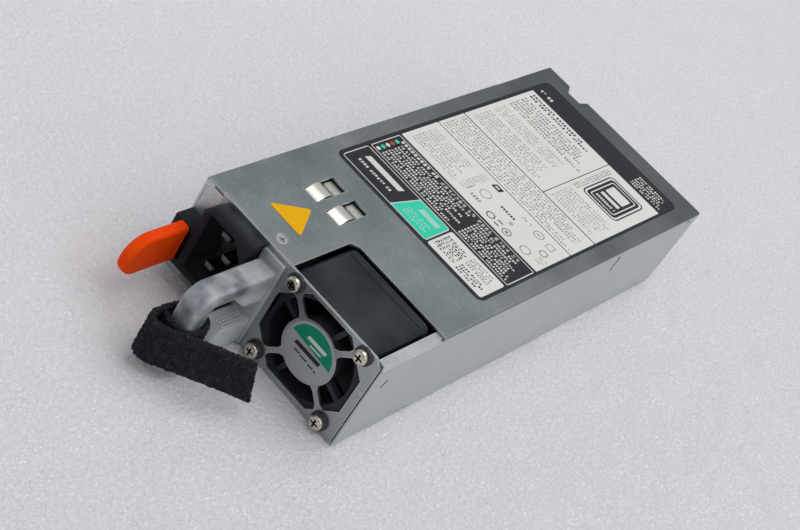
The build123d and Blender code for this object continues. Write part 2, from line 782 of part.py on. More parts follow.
# Pull handle: a rounded loop with a gusset at each root, moulded in clear grey
handle_left = handle_x - handle_width / 2
arm_low = handle_top - arm_thickness
bar_back = -handle_reach + bar_depth
shelf_height = 11.3
with BuildPart() as pull_handle:
    with BuildSketch(Plane.YZ.offset(handle_left)):
        with BuildLine():
            outer = Polyline(
                (front, handle_bottom),
                (front - handle_reach, handle_bottom),
                (front - handle_reach, handle_top),
                (front, handle_top),
                close=True,
            )
        make_face()
        with BuildSketch(mode=Mode.PRIVATE) as finger_opening:
            with BuildLine():
                FilletPolyline(
                    (front - 1.4, shelf_height),
                    (front - 1.4, arm_low - 6.6),
                    (front - 9.4, arm_low - 6.6),
                    (front - 17.2, arm_low),
                    (front + bar_back, arm_low),
                    (front + bar_back, handle_bottom + sill_thickness),
                    (front - 19.0, handle_bottom + sill_thickness),
                    (front - 13.5, shelf_height),
                    radius=1.2,
                    close=True,
                )
            make_face()
        add(finger_opening.sketch, mode=Mode.SUBTRACT)
        nose = pull_handle.pending_faces
    extrude(amount=handle_width)
    nose_top = pull_handle.edges().filter_by(Axis.X).sort_by(Axis.Y)[:2].sort_by(Axis.Z)
    fillet(nose_top[-1], 6.8)
    fillet(pull_handle.edges().filter_by(Axis.X).sort_by(Axis.Y)[0:2].sort_by(Axis.Z)[0], 4.0)
    long_edges = pull_handle.edges().filter_by(
        lambda e: abs(abs(e.center().X - handle_x) - handle_width / 2) < 0.01 and e.center().Y < front - 0.01
    )
    fillet(long_edges, 1.1)
    # Root flange against the panel, with the light pocket and two snap tongues
    with BuildSketch(upright(0)):
        with Locations((handle_x + 0.4, (handle_bottom + bezel_high) / 2)):
            RectangleRounded(9.6, bezel_high - handle_bottom, 0.8)
    extrude(amount=1.4)
    with BuildSketch(upright(0)):
        with Locations((handle_x, led_z)):
            Rectangle(4.0, 3.0)
    extrude(amount=3.4, mode=Mode.SUBTRACT)
    with BuildSketch(upright(0)):
        with Locations(*[(handle_x, z) for z in snap_heights]):
            Rectangle(4.0, 3.0)
    extrude(amount=-panel_thickness - 1.2)
pull_handle.part.label = "pull_handle"
export_step(pull_handle.part, "parts/pull_handle.step")

with BuildPart() as led_board:
    with BuildSketch(upright(panel_thickness)):
        with Locations((handle_x, led_z)):
            Rectangle(9.0, 9.0)
    extrude(amount=-1.0)
led_board.part.label = "led_board"
export_step(led_board.part, "parts/led_board.step")

with BuildPart() as status_led:
    with BuildSketch(upright(panel_thickness)):
        with Locations((handle_x, led_z)):
            Rectangle(3.2, 2.4)
    extrude(amount=panel_thickness + 2.0)
    fillet(status_led.edges().filter_by(Axis.Z).group_by(Axis.Y)[0], 0.5)
status_led.part.label = "status_led"
export_step(status_led.part, "parts/status_led.step")

# Strap: a sewn eye round the handle's front bar and a folded tail
bar_y = front - handle_reach + bar_depth / 2
eye_inner = sqrt((handle_width / 2) ** 2 + (bar_depth / 2) ** 2) - 0.45 + strap_clearance
eye_middle = eye_inner + strap_thickness / 2
tail_gap = eye_inner + 1.5 * strap_thickness + slip
tail_turn = -(eye_middle * sin(radians(tail_slant)) + tail_gap) / cos(radians(tail_slant))
tail_route = [
    (handle_x - eye_middle, bar_y),
    (handle_x - eye_middle - 1.0, bar_y + tail_turn - 0.8),
    (
        handle_x - eye_middle + 0.4 * tail_length * cos(radians(tail_slant)),
        bar_y + tail_turn + 0.4 * tail_length * sin(radians(tail_slant)),
    ),
    (
        handle_x - eye_middle + tail_length * cos(radians(tail_slant + 2)),
        bar_y + tail_turn + tail_length * sin(radians(tail_slant + 2)),
    ),
]
with BuildPart() as cable_strap:
    with BuildSketch(Plane.XY.offset(handle_bottom + sill_thickness + slip)):
        with BuildLine():
            FilletPolyline(*tail_route, radius=[3.0, 30.0])
        trace(line_width=strap_thickness)
        with Locations((handle_x, bar_y)):
            Circle(eye_inner + strap_thickness)
            Circle(eye_inner, mode=Mode.SUBTRACT)
    extrude(amount=strap_width)
cable_strap.part.label = "cable_strap"
export_step(cable_strap.part, "parts/cable_strap.step")

# Latch: a lever along the left wall with a hook, a finger tab and a bow spring
lever_left = latch_x - latch_thickness / 2
lever_right = latch_x + latch_thickness / 2
pivot_y = front + pivot_back
with BuildPart() as latch_lever:
    with BuildSketch(Plane.XY.offset(latch_low)):
        with BuildLine():
            Polyline(
                (lever_left, front - bezel_depth - 12.0),
                (lever_right, front - bezel_depth - 12.0),
                (lever_right, pivot_y),
                (lever_left, pivot_y),
                close=True,
            )
        make_face()
        with Locations((latch_x, pivot_y)):
            Circle(3.2)
            Circle(pivot_radius + pivot_clearance, mode=Mode.SUBTRACT)
    extrude(amount=latch_high - latch_low)
    with BuildSketch(Plane.XY.offset(13.0)):
        with BuildLine():
            Polyline(
                (lever_left, front + 3.0),
                (-side - hook_reach, front + 3.0),
                (-side - hook_reach, front + 4.4),
                (lever_left, front + 9.2),
                close=True,
            )
        make_face()
    extrude(amount=7.0)
latch_lever.part.label = "latch_lever"
export_step(latch_lever.part, "parts/latch_lever.step")

with BuildPart() as latch_tab:
    with BuildSketch(Plane.YZ.offset(latch_x - tab_thickness / 2)):
        with BuildLine():
            Polyline(
                (front - bezel_depth - slip, tab_low),
                (front - tab_reach, tab_low),
                (front - tab_reach, tab_high),
                (front - bezel_depth - slip, tab_high),
                close=True,
            )
        make_face()
    extrude(amount=tab_thickness)
    fillet(latch_tab.edges().filter_by(Axis.X).group_by(Axis.Y)[0].sort_by(Axis.Z)[-1], 8.8)
    fillet(latch_tab.edges().filter_by(Axis.X).group_by(Axis.Y)[0].sort_by(Axis.Z)[0], 6.2)
    fillet(
        latch_tab.edges().filter_by(
            lambda e: abs(abs(e.center().X - latch_x) - tab_thickness / 2) < 0.01
            and e.center().Y < front - bezel_depth - slip - 0.01
        ),
        1.3,
    )
    # Pocket that the lever's tang fills
    with BuildSketch(Plane.XY.offset(latch_low)):
        with Locations((latch_x, front - bezel_depth - 6.0)):
            Rectangle(latch_thickness, 12.0)
    extrude(amount=latch_high - latch_low, mode=Mode.SUBTRACT)
latch_tab.part.label = "latch_tab"
export_step(latch_tab.part, "parts/latch_tab.step")

with BuildPart() as latch_pin:
    with BuildSketch(Plane.XY.offset(sheet)):
        with Locations((latch_x, pivot_y)):
            Circle(3.0)
    extrude(amount=latch_low - slip - sheet)
    with BuildSketch(Plane.XY.offset(latch_low - slip)):
        with Locations((latch_x, pivot_y)):
            Circle(pivot_radius)
    extrude(amount=latch_high - latch_low + 2.6)
latch_pin.part.label = "latch_pin"
export_step(latch_pin.part, "parts/latch_pin.step")

with BuildPart() as latch_clip:
    with BuildSketch(Plane.XY.offset(latch_high + slip)):
        with Locations((latch_x, pivot_y)):
            Circle(2.8)
            Circle(pivot_radius + 0.02, mode=Mode.SUBTRACT)
        with Locations((latch_x, pivot_y + 2.4)):
            Rectangle(1.2, 2.4, mode=Mode.SUBTRACT)
    extrude(amount=0.6)
latch_clip.part.label = "latch_clip"
export_step(latch_clip.part, "parts/latch_clip.step")

spring_foot = lever_right + slip
spring_crown = inlet_x - body_width / 2 - 0.05
spring_wall = 0.3
with BuildPart() as latch_spring:
    with BuildSketch(Plane.XY.offset(14.0)):
        with BuildLine():
            ThreePointArc(
                (spring_foot, front + 1.8),
                (spring_crown, front + 6.4),
                (spring_foot, front + 11.0),
            )
            Line((spring_foot, front + 11.0), (spring_foot, front + 11.0 - spring_wall * 1.3))
            ThreePointArc(
                (spring_foot, front + 11.0 - spring_wall * 1.3),
                (spring_crown - spring_wall, front + 6.4),
                (spring_foot, front + 1.8 + spring_wall * 1.3),
            )
            Line((spring_foot, front + 1.8 + spring_wall * 1.3), (spring_foot, front + 1.8))
        make_face()
    extrude(amount=5.6)
latch_spring.part.label = "latch_spring"
export_step(latch_spring.part, "parts/latch_spring.step")

# Main board with its contact tongue, on standoffs over an insulating sheet
board_front = 24.0
board_back = case_length - rear_inset - sheet - 1.2
board_side = inner_side - 1.4
board_left = panel_left + 2.3
board_step = inlet_x + 19.4
hole_x = board_side - 4.2
standoff_places = (
    (hole_x, front + 37.4),
    (-hole_x, front + 70.6),
    (hole_x, front + along(140.0)),
    (-hole_x, front + along(158.0)),
    (-hole_x, front + board_back - 6.5),
    (hole_x, front + board_back - 6.5),
)
standoff_radius = 2.6
board_outline = [
    (board_left, front + board_front),
    (board_step, front + board_front),
    (board_step, front + 32.5),
    (board_side, front + 32.5),
    (board_side, front + board_back),
    (tongue_right, front + board_back),
    (tongue_right, back + tongue_reach - 1.0),
    (tongue_right - 1.0, back + tongue_reach),
    (tongue_left + 1.0, back + tongue_reach),
    (tongue_left, back + tongue_reach - 1.0),
    (tongue_left, front + board_back),
    (-board_side, front + board_back),
    (-board_side, front + pivot_back + 8.0),
    (board_left, front + pivot_back + 8.0),
]
with BuildPart() as main_board:
    with BuildSketch(Plane.XY.offset(board_low)):
        with BuildLine():
            Polyline(*board_outline, close=True)
        make_face()
        with Locations(*standoff_places):
            Circle(1.6, mode=Mode.SUBTRACT)
        # Key slots in the tongue
        with Locations((-8.0, back + tongue_reach), (9.0, back + tongue_reach)):
            Rectangle(1.2, 14.0, mode=Mode.SUBTRACT)
    extrude(amount=board_thickness)
main_board.part.label = "main_board"
export_step(main_board.part, "parts/main_board.step")

contact_thickness = 0.05
finger_places = [x for x in range(-28, 21, 4) if abs(x + 8) > 1.5 and abs(x - 9) > 2.5]
with BuildPart() as edge_contacts:
    for low in (board_top, board_low - contact_thickness):
        with BuildSketch(Plane.XY.offset(low)):
            with Locations(*[(x, back + tongue_reach - 4.4) for x in finger_places]):
                Rectangle(2.6, 7.0)
        extrude(amount=contact_thickness)
edge_contacts.part.label = "edge_contacts"
export_step(edge_contacts.part, "parts/edge_contacts.step")

with BuildPart() as board_standoffs:
    with BuildSketch(Plane.XY.offset(sheet)):
        with Locations(*standoff_places):
            RegularPolygon(standoff_radius, 6)
            Circle(1.5, mode=Mode.SUBTRACT)
    extrude(amount=board_lift)
board_standoffs.part.label = "board_standoffs"
export_step(board_standoffs.part, "parts/board_standoffs.step")

with BuildPart() as board_screws:
    with BuildSketch(Plane.XY.offset(board_top)):
        with Locations(*standoff_places):
            Circle(2.5)
    extrude(amount=1.6)
    fillet(board_screws.edges().filter_by(GeomType.CIRCLE).group_by(Axis.Z)[-1], 0.7)
    with BuildSketch(Plane.XY.offset(board_top)):
        with Locations(*standoff_places):
            Circle(1.4)
    extrude(amount=-4.2)
board_screws.part.label = "board_screws"
export_step(board_screws.part, "parts/board_screws.step")

insulation = 0.4
with BuildPart() as insulation_sheet:
    with BuildSketch(Plane.XY.offset(sheet)):
        with Locations((0, front + (32.5 + board_back) / 2 + 10)):
            Rectangle(2 * board_side, board_back - 32.5 - 20)
        with Locations(*standoff_places):
            Circle(standoff_radius + 0.4, mode=Mode.SUBTRACT)
    extrude(amount=insulation)
insulation_sheet.part.label = "insulation_sheet"
export_step(insulation_sheet.part, "parts/insulation_sheet.step")


def box_on_board(x, y, width, length, height, soften):
    """A component body standing on the main board, with softened upright and top edges."""
    with Locations((x, front + y, board_top)):
        body = Box(width, length, height, align=(Align.CENTER, Align.CENTER, Align.MIN))
    fillet(body.edges().group_by(Axis.Z)[-1], soften)


# Line filter
with BuildPart() as film_capacitors:
    box_on_board(18.0 - side, 38.0, 14.0, 7.0, 14.0, 0.8)
    box_on_board(18.0 - side, along(79.0), 22.0, 9.0 * stage_share, 18.0, 0.8)
film_capacitors.part.label = "film_capacitors"
export_step(film_capacitors.part, "parts/film_capacitors.step")

fuse_x = -11.0
with BuildPart() as inlet_fuse:
    with BuildSketch(Plane.XZ.offset(-(front + 31.0))):
        with Locations((fuse_x, board_top + 3.2)):
            Circle(2.8)
    extrude(amount=-18.0)
    with BuildSketch(Plane.XZ.offset(-(front + 31.0))):
        with Locations((fuse_x, board_top + 3.2)):
            Circle(3.2)
    extrude(amount=-4.0)
    with BuildSketch(Plane.XZ.offset(-(front + 45.0))):
        with Locations((fuse_x, board_top + 3.2)):
            Circle(3.2)
    extrude(amount=-4.0)
inlet_fuse.part.label = "inlet_fuse"
export_step(inlet_fuse.part, "parts/inlet_fuse.step")

choke_x = 15.4 - side
choke_y = 58.0
choke_inner = 6.0
choke_outer = 11.0
choke_height = 9.0
choke_wire = 1.6
choke_low = board_top + choke_wire + 0.2
with BuildPart() as choke_core:
    with BuildSketch(Plane.XY.offset(choke_low)):
        with Locations((choke_x, front + choke_y)):
            Circle(choke_outer)
            Circle(choke_inner, mode=Mode.SUBTRACT)
    extrude(amount=choke_height)
choke_core.part.label = "choke_core"
export_step(choke_core.part, "parts/choke_core.step")

choke_middle = (choke_inner + choke_outer) / 2
with BuildPart() as choke_coils:
    with BuildSketch(upright(choke_y)):
        with Locations(
            (choke_x + choke_middle, choke_low + choke_height / 2),
            (choke_x - choke_middle, choke_low + choke_height / 2),
        ):
            Rectangle(choke_outer - choke_inner + 2 * choke_wire, choke_height + 2 * choke_wire)
            Rectangle(
                choke_outer - choke_inner + 2 * fit,
                choke_height + 2 * fit,
                mode=Mode.SUBTRACT,
            )
    revolve(axis=Axis((choke_x, front + choke_y, 0), (0, 0, 1)), revolution_arc=130)
choke_coils.part.label = "choke_coils"
export_step(choke_coils.part, "parts/choke_coils.step")

with BuildPart() as inrush_relay:
    box_on_board(-9.2, 60.0, 10.0, 18.0, 15.0, 0.6)
inrush_relay.part.label = "inrush_relay"
export_step(inrush_relay.part, "parts/inrush_relay.step")

# Power factor stage
boost_x = side - 24.0
boost_y = 52.0
boost_inner = 7.5
boost_outer = 14.0
boost_height = 13.0
boost_wire = 2.0
boost_low = board_top + boost_wire + 0.2
with BuildPart() as boost_core:
    with BuildSketch(Plane.XY.offset(boost_low)):
        with Locations((boost_x, front + boost_y)):
            Circle(boost_outer)
            Circle(boost_inner, mode=Mode.SUBTRACT)
    extrude(amount=boost_height)
boost_core.part.label = "boost_core"
export_step(boost_core.part, "parts/boost_core.step")

with BuildPart() as boost_coil:
    with BuildSketch(upright(boost_y)):
        with Locations((boost_x + (boost_inner + boost_outer) / 2, boost_low + boost_height / 2)):
            Rectangle(boost_outer - boost_inner + 2 * boost_wire, boost_height + 2 * boost_wire)
            Rectangle(
                boost_outer - boost_inner + 2 * fit,
                boost_height + 2 * fit,
                mode=Mode.SUBTRACT,
            )
    revolve(axis=Axis((boost_x, front + boost_y, 0), (0, 0, 1)), revolution_arc=320)
boost_coil.part.label = "boost_coil"
export_step(boost_coil.part, "parts/boost_coil.step")

capacitor_radius = (part_height - 3.6) / 2
capacitor_length = 33.0 * stage_share
with BuildPart() as bulk_capacitors:
    for start in (along(71.0), along(105.5)):
        with BuildSketch(upright(start)):
            with Locations((side - 20.0, board_top + capacitor_radius)):
                Circle(capacitor_radius)
        extrude(amount=-capacitor_length)
    fillet(bulk_capacitors.edges().filter_by(GeomType.CIRCLE), 1.2)
bulk_capacitors.part.label = "bulk_capacitors"
export_step(bulk_capacitors.part, "parts/bulk_capacitors.step")

sink_left = -5.6
sink_height = part_height - 3.6
with BuildPart() as primary_heatsink:
    with BuildSketch(upright(along(74.0))):
        with Locations((sink_left + 1.0, board_top + sink_height / 2)):
            Rectangle(2.0, sink_height)
        for fin in range(6):
            with Locations((sink_left + 5.0, board_top + 3.0 + fin * (sink_height - 5.0) / 5)):
                Rectangle(8.0, 1.4)
    extrude(amount=-58.0 * stage_share)
primary_heatsink.part.label = "primary_heatsink"
export_step(primary_heatsink.part, "parts/primary_heatsink.step")


def package_row(x, starts, thickness, width, height, lift):
    """Upright transistor packages that lie flat against a heatsink's plate."""
    for start in starts:
        with Locations((x, front + start + width / 2, board_top + lift)):
            Box(thickness, width, height, align=(Align.MAX, Align.CENTER, Align.MIN))
        for leg in (-0.25 * width, 0, 0.25 * width):
            with Locations((x - thickness / 2, front + start + width / 2 + leg, board_top)):
                Box(0.6, 0.8, lift, align=(Align.CENTER, Align.CENTER, Align.MIN))


with BuildPart() as primary_transistors:
    package_row(sink_left, (along(86.0), along(99.0), along(112.0)), 4.5, 10.0 * stage_share, 15.0, 5.0)
primary_transistors.part.label = "primary_transistors"
export_step(primary_transistors.part, "parts/primary_transistors.step")

with BuildPart() as bridge_rectifier:
    with Locations((sink_left, front + along(75.0), board_top + 4.0)):
        Box(3.6, 10.0 * stage_share, 18.0, align=(Align.MAX, Align.MIN, Align.MIN))
    for leg in (1.5, 4.0, 6.5, 9.0):
        with Locations((sink_left - 1.8, front + along(75.0 + leg), board_top)):
            Box(0.8, 1.0, 4.0, align=(Align.CENTER, Align.CENTER, Align.MIN))
bridge_rectifier.part.label = "bridge_rectifier"
export_step(bridge_rectifier.part, "parts/bridge_rectifier.step")

# Converter stage
with BuildPart() as resonant_choke:
    box_on_board(16.0 - side, along(95.0), 18.0, 16.0 * stage_share, part_height - 12.6, 0.8)
resonant_choke.part.label = "resonant_choke"
export_step(resonant_choke.part, "parts/resonant_choke.step")

core_x = 16.5 - side
core_y = along(124.0)
core_width = 16.0
core_length = 34.0 * stage_share
core_height = part_height - 4.6
window_gap = 6.5 * stage_share
leg_width = 11.0 * stage_share
with BuildPart() as transformer_core:
    with BuildSketch(Plane.YZ.offset(core_x - core_width / 2)):
        with Locations((front + core_y, board_top + core_height / 2)):
            Rectangle(core_length, core_height)
            with Locations((-leg_width / 2 - window_gap / 2, 0), (leg_width / 2 + window_gap / 2, 0)):
                Rectangle(window_gap, core_height - 10.0, mode=Mode.SUBTRACT)
    extrude(amount=core_width)
transformer_core.part.label = "transformer_core"
export_step(transformer_core.part, "parts/transformer_core.step")

with BuildPart() as transformer_coil:
    with BuildSketch(Plane.XY.offset(board_top + 5.4)):
        with Locations((core_x, front + core_y)):
            Rectangle(core_width + 2 * (window_gap - 0.6), leg_width + 2 * (window_gap - 0.6))
            Rectangle(core_width, leg_width, mode=Mode.SUBTRACT)
    extrude(amount=core_height - 10.8)
    with BuildSketch(Plane.XY.offset(board_top)):
        for x_side in (-1, 1):
            with Locations((core_x + x_side * (core_width / 2 + 3.0), front + core_y)):
                Rectangle(3.0, leg_width)
    extrude(amount=5.4)
transformer_coil.part.label = "transformer_coil"
export_step(transformer_coil.part, "parts/transformer_coil.step")

with BuildPart() as standby_transformer:
    box_on_board(side - 23.0, along(150.0), 16.0, 16.0 * stage_share, 17.0, 0.8)
standby_transformer.part.label = "standby_transformer"
export_step(standby_transformer.part, "parts/standby_transformer.step")

# Output stage
with BuildPart() as output_heatsink:
    with BuildSketch(upright(along(146.0))):
        with Locations((21.0 - side, board_top + 4.0 + 1.0)):
            Rectangle(22.0, 2.0)
        for fin in range(7):
            with Locations((10.7 - side + fin * 3.4, board_top + 15.0)):
                Rectangle(1.4, 18.0)
    extrude(amount=-30.0 * stage_share)
output_heatsink.part.label = "output_heatsink"
export_step(output_heatsink.part, "parts/output_heatsink.step")

with BuildPart() as output_transistors:
    with Locations((21.0 - side, front + along(161.0), board_top)):
        with GridLocations(9.0, 9.0 * stage_share, 2, 3):
            Box(6.0, 6.0 * stage_share, 4.0, align=(Align.CENTER, Align.CENTER, Align.MIN))
output_transistors.part.label = "output_transistors"
export_step(output_transistors.part, "parts/output_transistors.step")

output_radius = 4.0 * stage_share
with BuildPart() as output_capacitors:
    with BuildSketch(Plane.XY.offset(board_top)):
        with Locations((0, front + along(187.0))):
            with GridLocations(9.4, 9.4 * stage_share, 7, 2):
                Circle(output_radius)
    extrude(amount=13.0)
output_capacitors.part.label = "output_capacitors"
export_step(output_capacitors.part, "parts/output_capacitors.step")

control_x = inner_side - 3.6
control_height = part_height - 6.6
with BuildPart() as control_board:
    with BuildSketch(Plane.YZ.offset(control_x)):
        with Locations((front + along(166.0), board_top + control_height / 2)):
            Rectangle(40.0 * stage_share, control_height)
    extrude(amount=1.2)
    with BuildSketch(Plane.YZ.offset(control_x)):
        for y, z, width, height in ((155.0, 12.4, 7.0, 7.0), (168.0, 16.4, 9.0, 6.0), (178.0, 8.4, 5.0, 4.0)):
            with Locations((front + along(y), board_top + z)):
                Rectangle(width * stage_share, height)
    extrude(amount=-1.4)
control_board.part.label = "control_board"
export_step(control_board.part, "parts/control_board.step")

with BuildPart() as output_busbars:
    for x in (-5.0, 5.0):
        with Locations((x, front + along(158.0), board_top)):
            Box(3.0, 40.0 * stage_share, 9.0, align=(Align.CENTER, Align.CENTER, Align.MIN))
output_busbars.part.label = "output_busbars"
export_step(output_busbars.part, "parts/output_busbars.step")

# Fan wiring: a plug on the board and three leads from the fan's left side
plug_x = -1.0
plug_y = 37.5
plug_height = 6.5
lead_pitch = 1.5
fan_lead_radius = 0.5
with BuildPart() as fan_plug:
    with Locations((plug_x, front + plug_y, board_top)):
        Box(6.4, 4.2, plug_height, align=(Align.CENTER, Align.CENTER, Align.MIN))
    fillet(fan_plug.edges().filter_by(Axis.Z), 0.4)
fan_plug.part.label = "fan_plug"
export_step(fan_plug.part, "parts/fan_plug.step")

fan_left = fan_x - fan_size / 2
with BuildPart() as fan_leads:
    for place in (-1, 0, 1):
        shift = lead_pitch * place
        route = [
            (fan_left, front + fan_front + 2.0, fan_z + 13.0 + shift),
            (fan_left - 3.6, front + fan_front + 2.0, fan_z + 13.0 + shift),
            (fan_left - 3.9, front + 17.0, fan_z + 11.5 + shift),
            (fan_left - 2.2, front + 31.0, fan_z + 6.0 + shift * 0.6),
            (plug_x + shift, front + plug_y, board_top + plug_height + 8.0),
            (plug_x + shift, front + plug_y, board_top + plug_height),
        ]
        with BuildLine() as path:
            FilletPolyline(*route, radius=[1.5, 9.0, 5.0, 4.0])
        with BuildSketch(Plane(origin=route[0], z_dir=(-1, 0, 0))):
            Circle(fan_lead_radius)
        sweep(path=path.wire())
fan_leads.part.label = "fan_leads"
export_step(fan_leads.part, "parts/fan_leads.step")
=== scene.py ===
import bpy
import math
import random
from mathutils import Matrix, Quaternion, Vector


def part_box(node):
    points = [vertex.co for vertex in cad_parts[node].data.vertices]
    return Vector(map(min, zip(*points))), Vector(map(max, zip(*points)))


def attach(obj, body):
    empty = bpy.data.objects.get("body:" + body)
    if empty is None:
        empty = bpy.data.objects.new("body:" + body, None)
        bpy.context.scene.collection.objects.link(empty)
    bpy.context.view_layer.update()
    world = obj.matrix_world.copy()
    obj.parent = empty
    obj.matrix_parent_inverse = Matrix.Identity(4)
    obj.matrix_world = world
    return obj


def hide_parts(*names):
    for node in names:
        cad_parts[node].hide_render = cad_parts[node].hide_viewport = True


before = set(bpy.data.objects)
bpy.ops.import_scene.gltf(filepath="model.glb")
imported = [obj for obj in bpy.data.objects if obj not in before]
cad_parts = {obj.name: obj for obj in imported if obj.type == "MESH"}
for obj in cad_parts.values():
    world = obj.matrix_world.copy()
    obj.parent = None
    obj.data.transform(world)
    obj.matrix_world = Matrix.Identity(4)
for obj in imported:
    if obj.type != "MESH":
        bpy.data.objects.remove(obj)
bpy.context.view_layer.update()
print("frame loaded:", len(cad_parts), "nodes")

mm = 0.001
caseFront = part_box("chassis_tray")[0].y  # the plane that the front distances are counted from


# ---- camera, light and floor

camera = {
    "place": (178.58, -396.52, 377.67),  # mm, y counted from the case's front
    "heading": (-0.28767, 0.75680, -0.58694),
    "roll": 33.98,
    "lens": 79.69,
}
eye = bpy.data.objects.new("eye", bpy.data.cameras.new("eye"))
bpy.context.scene.collection.objects.link(eye)
eye.data.lens = camera["lens"]
eye.data.sensor_width = 36
eye.data.clip_start = 0.01
eye.location = Vector(camera["place"]) * mm + Vector((0, caseFront, 0))
aim = Vector(camera["heading"]).to_track_quat("-Z", "Y")
roll = Quaternion((0, 0, 1), math.radians(camera["roll"]))
eye.rotation_euler = (aim @ roll).to_euler()
bpy.context.scene.camera = eye

look = bpy.context.scene.view_settings
look.view_transform = "Standard"
look.look = "None"
look.exposure = 0.0

studio = {"tint": (0.93, 0.97, 1.0, 1), "strength": 0.47}
sky = bpy.data.worlds.new("studio")
bpy.context.scene.world = sky
sky.use_nodes = True
sky.node_tree.nodes["Background"].inputs["Color"].default_value = studio["tint"]
sky.node_tree.nodes["Background"].inputs["Strength"].default_value = studio["strength"]

lamps = {
    "ceiling": {"place": (0.25, 0.30, 1.30), "size": 1.3, "power": 9.4, "tint": (1.0, 0.985, 0.975)},
    "side": {"place": (1.20, -0.10, 0.75), "size": 0.9, "power": 2.3, "tint": (0.97, 0.985, 1.0)},
}
for name, lamp in lamps.items():
    light = bpy.data.lights.new(name, "AREA")
    light.size = lamp["size"]
    light.energy = lamp["power"]
    light.color = lamp["tint"]
    holder = bpy.data.objects.new(name, light)
    bpy.context.scene.collection.objects.link(holder)
    holder.location = lamp["place"]
    holder.rotation_euler = (-Vector(lamp["place"])).to_track_quat("-Z", "Y").to_euler()
print("camera and light placed")


# ---- shader maths

class Wire:  # a socket that turns sums into Math nodes
    def __init__(self, shade, socket):
        self.shade = shade
        self.socket = socket

    def maths(self, operation, *others):
        values = dict(enumerate([self, *others]))
        return self.shade.add("ShaderNodeMath", {"operation": operation}, values)

    def __add__(self, other):
        return self.maths("ADD", other)

    def __sub__(self, other):
        return self.maths("SUBTRACT", other)

    def __mul__(self, other):
        return self.maths("MULTIPLY", other)

    def __abs__(self):
        return self.maths("ABSOLUTE")

    def __gt__(self, other):
        return self.maths("GREATER_THAN", other)

    def __lt__(self, other):
        return self.maths("LESS_THAN", other)

    def most(self, other):
        return self.maths("MAXIMUM", other)


class Shade:  # one material and the nodes in it
    def __init__(self, name):
        self.material = bpy.data.materials.new(name)
        self.material.use_nodes = True
        self.nodes = self.material.node_tree.nodes
        self.links = self.material.node_tree.links
        self.body = self.nodes["Principled BSDF"]

    def add(self, kind, settings=None, inputs=None, out=0):
        node = self.nodes.new(kind)
        for key, value in (settings or {}).items():
            if key == "stops":
                ramp = node.color_ramp
                while len(ramp.elements) < len(value):
                    ramp.elements.new(0.5)
                for element, (place, shadeOfIt) in zip(ramp.elements, value):
                    element.position = place
                    element.color = shadeOfIt if len(shadeOfIt) == 4 else (*shadeOfIt, 1)
            else:
                setattr(node, key, value)
        for key, value in (inputs or {}).items():
            self.feed(node.inputs[key], value)
        return Wire(self, node.outputs[out])

    def feed(self, socket, value):
        if isinstance(value, Wire):
            self.links.new(value.socket, socket)
        elif socket.type == "RGBA" and len(value) == 3:
            socket.default_value = (*value, 1)
        else:
            socket.default_value = value

    def place(self, stretch=(1, 1, 1), turn=(0, 0, 0)):
        seen = self.add("ShaderNodeTexCoord", out="Object")
        return self.add("ShaderNodeMapping", {}, {"Vector": seen, "Scale": stretch, "Rotation": turn})

    def along(self, axis):
        # how far along X, Y or Z the surface lies, in metres
        seen = self.add("ShaderNodeTexCoord", out="Object")
        return self.add("ShaderNodeSeparateXYZ", {}, {"Vector": seen}, axis)

    def noise(self, size, stretch=(1, 1, 1), detail=3, roughness=0.5, turn=(0, 0, 0)):
        inputs = {"Vector": self.place(stretch, turn), "Scale": 1 / size}
        inputs.update({"Detail": detail, "Roughness": roughness})
        return self.add("ShaderNodeTexNoise", {}, inputs, "Fac")

    def ramp(self, value, low, high, lowOut=0.0, highOut=1.0):
        spans = {"Value": value, "From Min": low, "From Max": high, "To Min": lowOut, "To Max": highOut}
        return self.add("ShaderNodeMapRange", {"clamp": True}, spans)

    def blend(self, factor, a, b):
        node = self.nodes.new("ShaderNodeMix")
        node.data_type = "RGBA"
        for key, value in (("Factor_Float", factor), ("A_Color", a), ("B_Color", b)):
            self.feed(next(s for s in node.inputs if s.identifier == key), value)
        return Wire(self, next(s for s in node.outputs if s.identifier == "Result_Color"))

    def bump(self, height, depth, strength=1.0, under=None):
        inputs = {"Height": height, "Distance": depth, "Strength": strength}
        if under is not None:
            inputs["Normal"] = under
        return self.add("ShaderNodeBump", {}, inputs)

    def rim(self, reach):
        # 1 along sharp edges, 0 on flat faces
        rounded = self.add("ShaderNodeBevel", {"samples": 4}, {"Radius": reach * mm})
        flat = self.add("ShaderNodeNewGeometry", out="True Normal")
        settings = {"operation": "DOT_PRODUCT"}
        alike = self.add("ShaderNodeVectorMath", settings, {0: rounded, 1: flat}, "Value")
        return self.ramp(alike, 0.98, 0.88)

    def set(self, **values):
        for key, value in values.items():
            self.feed(self.body.inputs[key.replace("_", " ")], value)
        return self.material


black, white = (0, 0, 0), (1, 1, 1)


def mixed(colour, other, share):
    return tuple(a + (b - a) * share for a, b in zip(colour, other))


sheetMarks = {
    "patch": 0.022, "grain": 0.00035, "speck": 0.0011, "line": 0.006,  # metres
    "speckShare": 0.32, "rim": 0.45, "rearShadeFrom": -0.06, "rearShadeTo": 0.10,
}


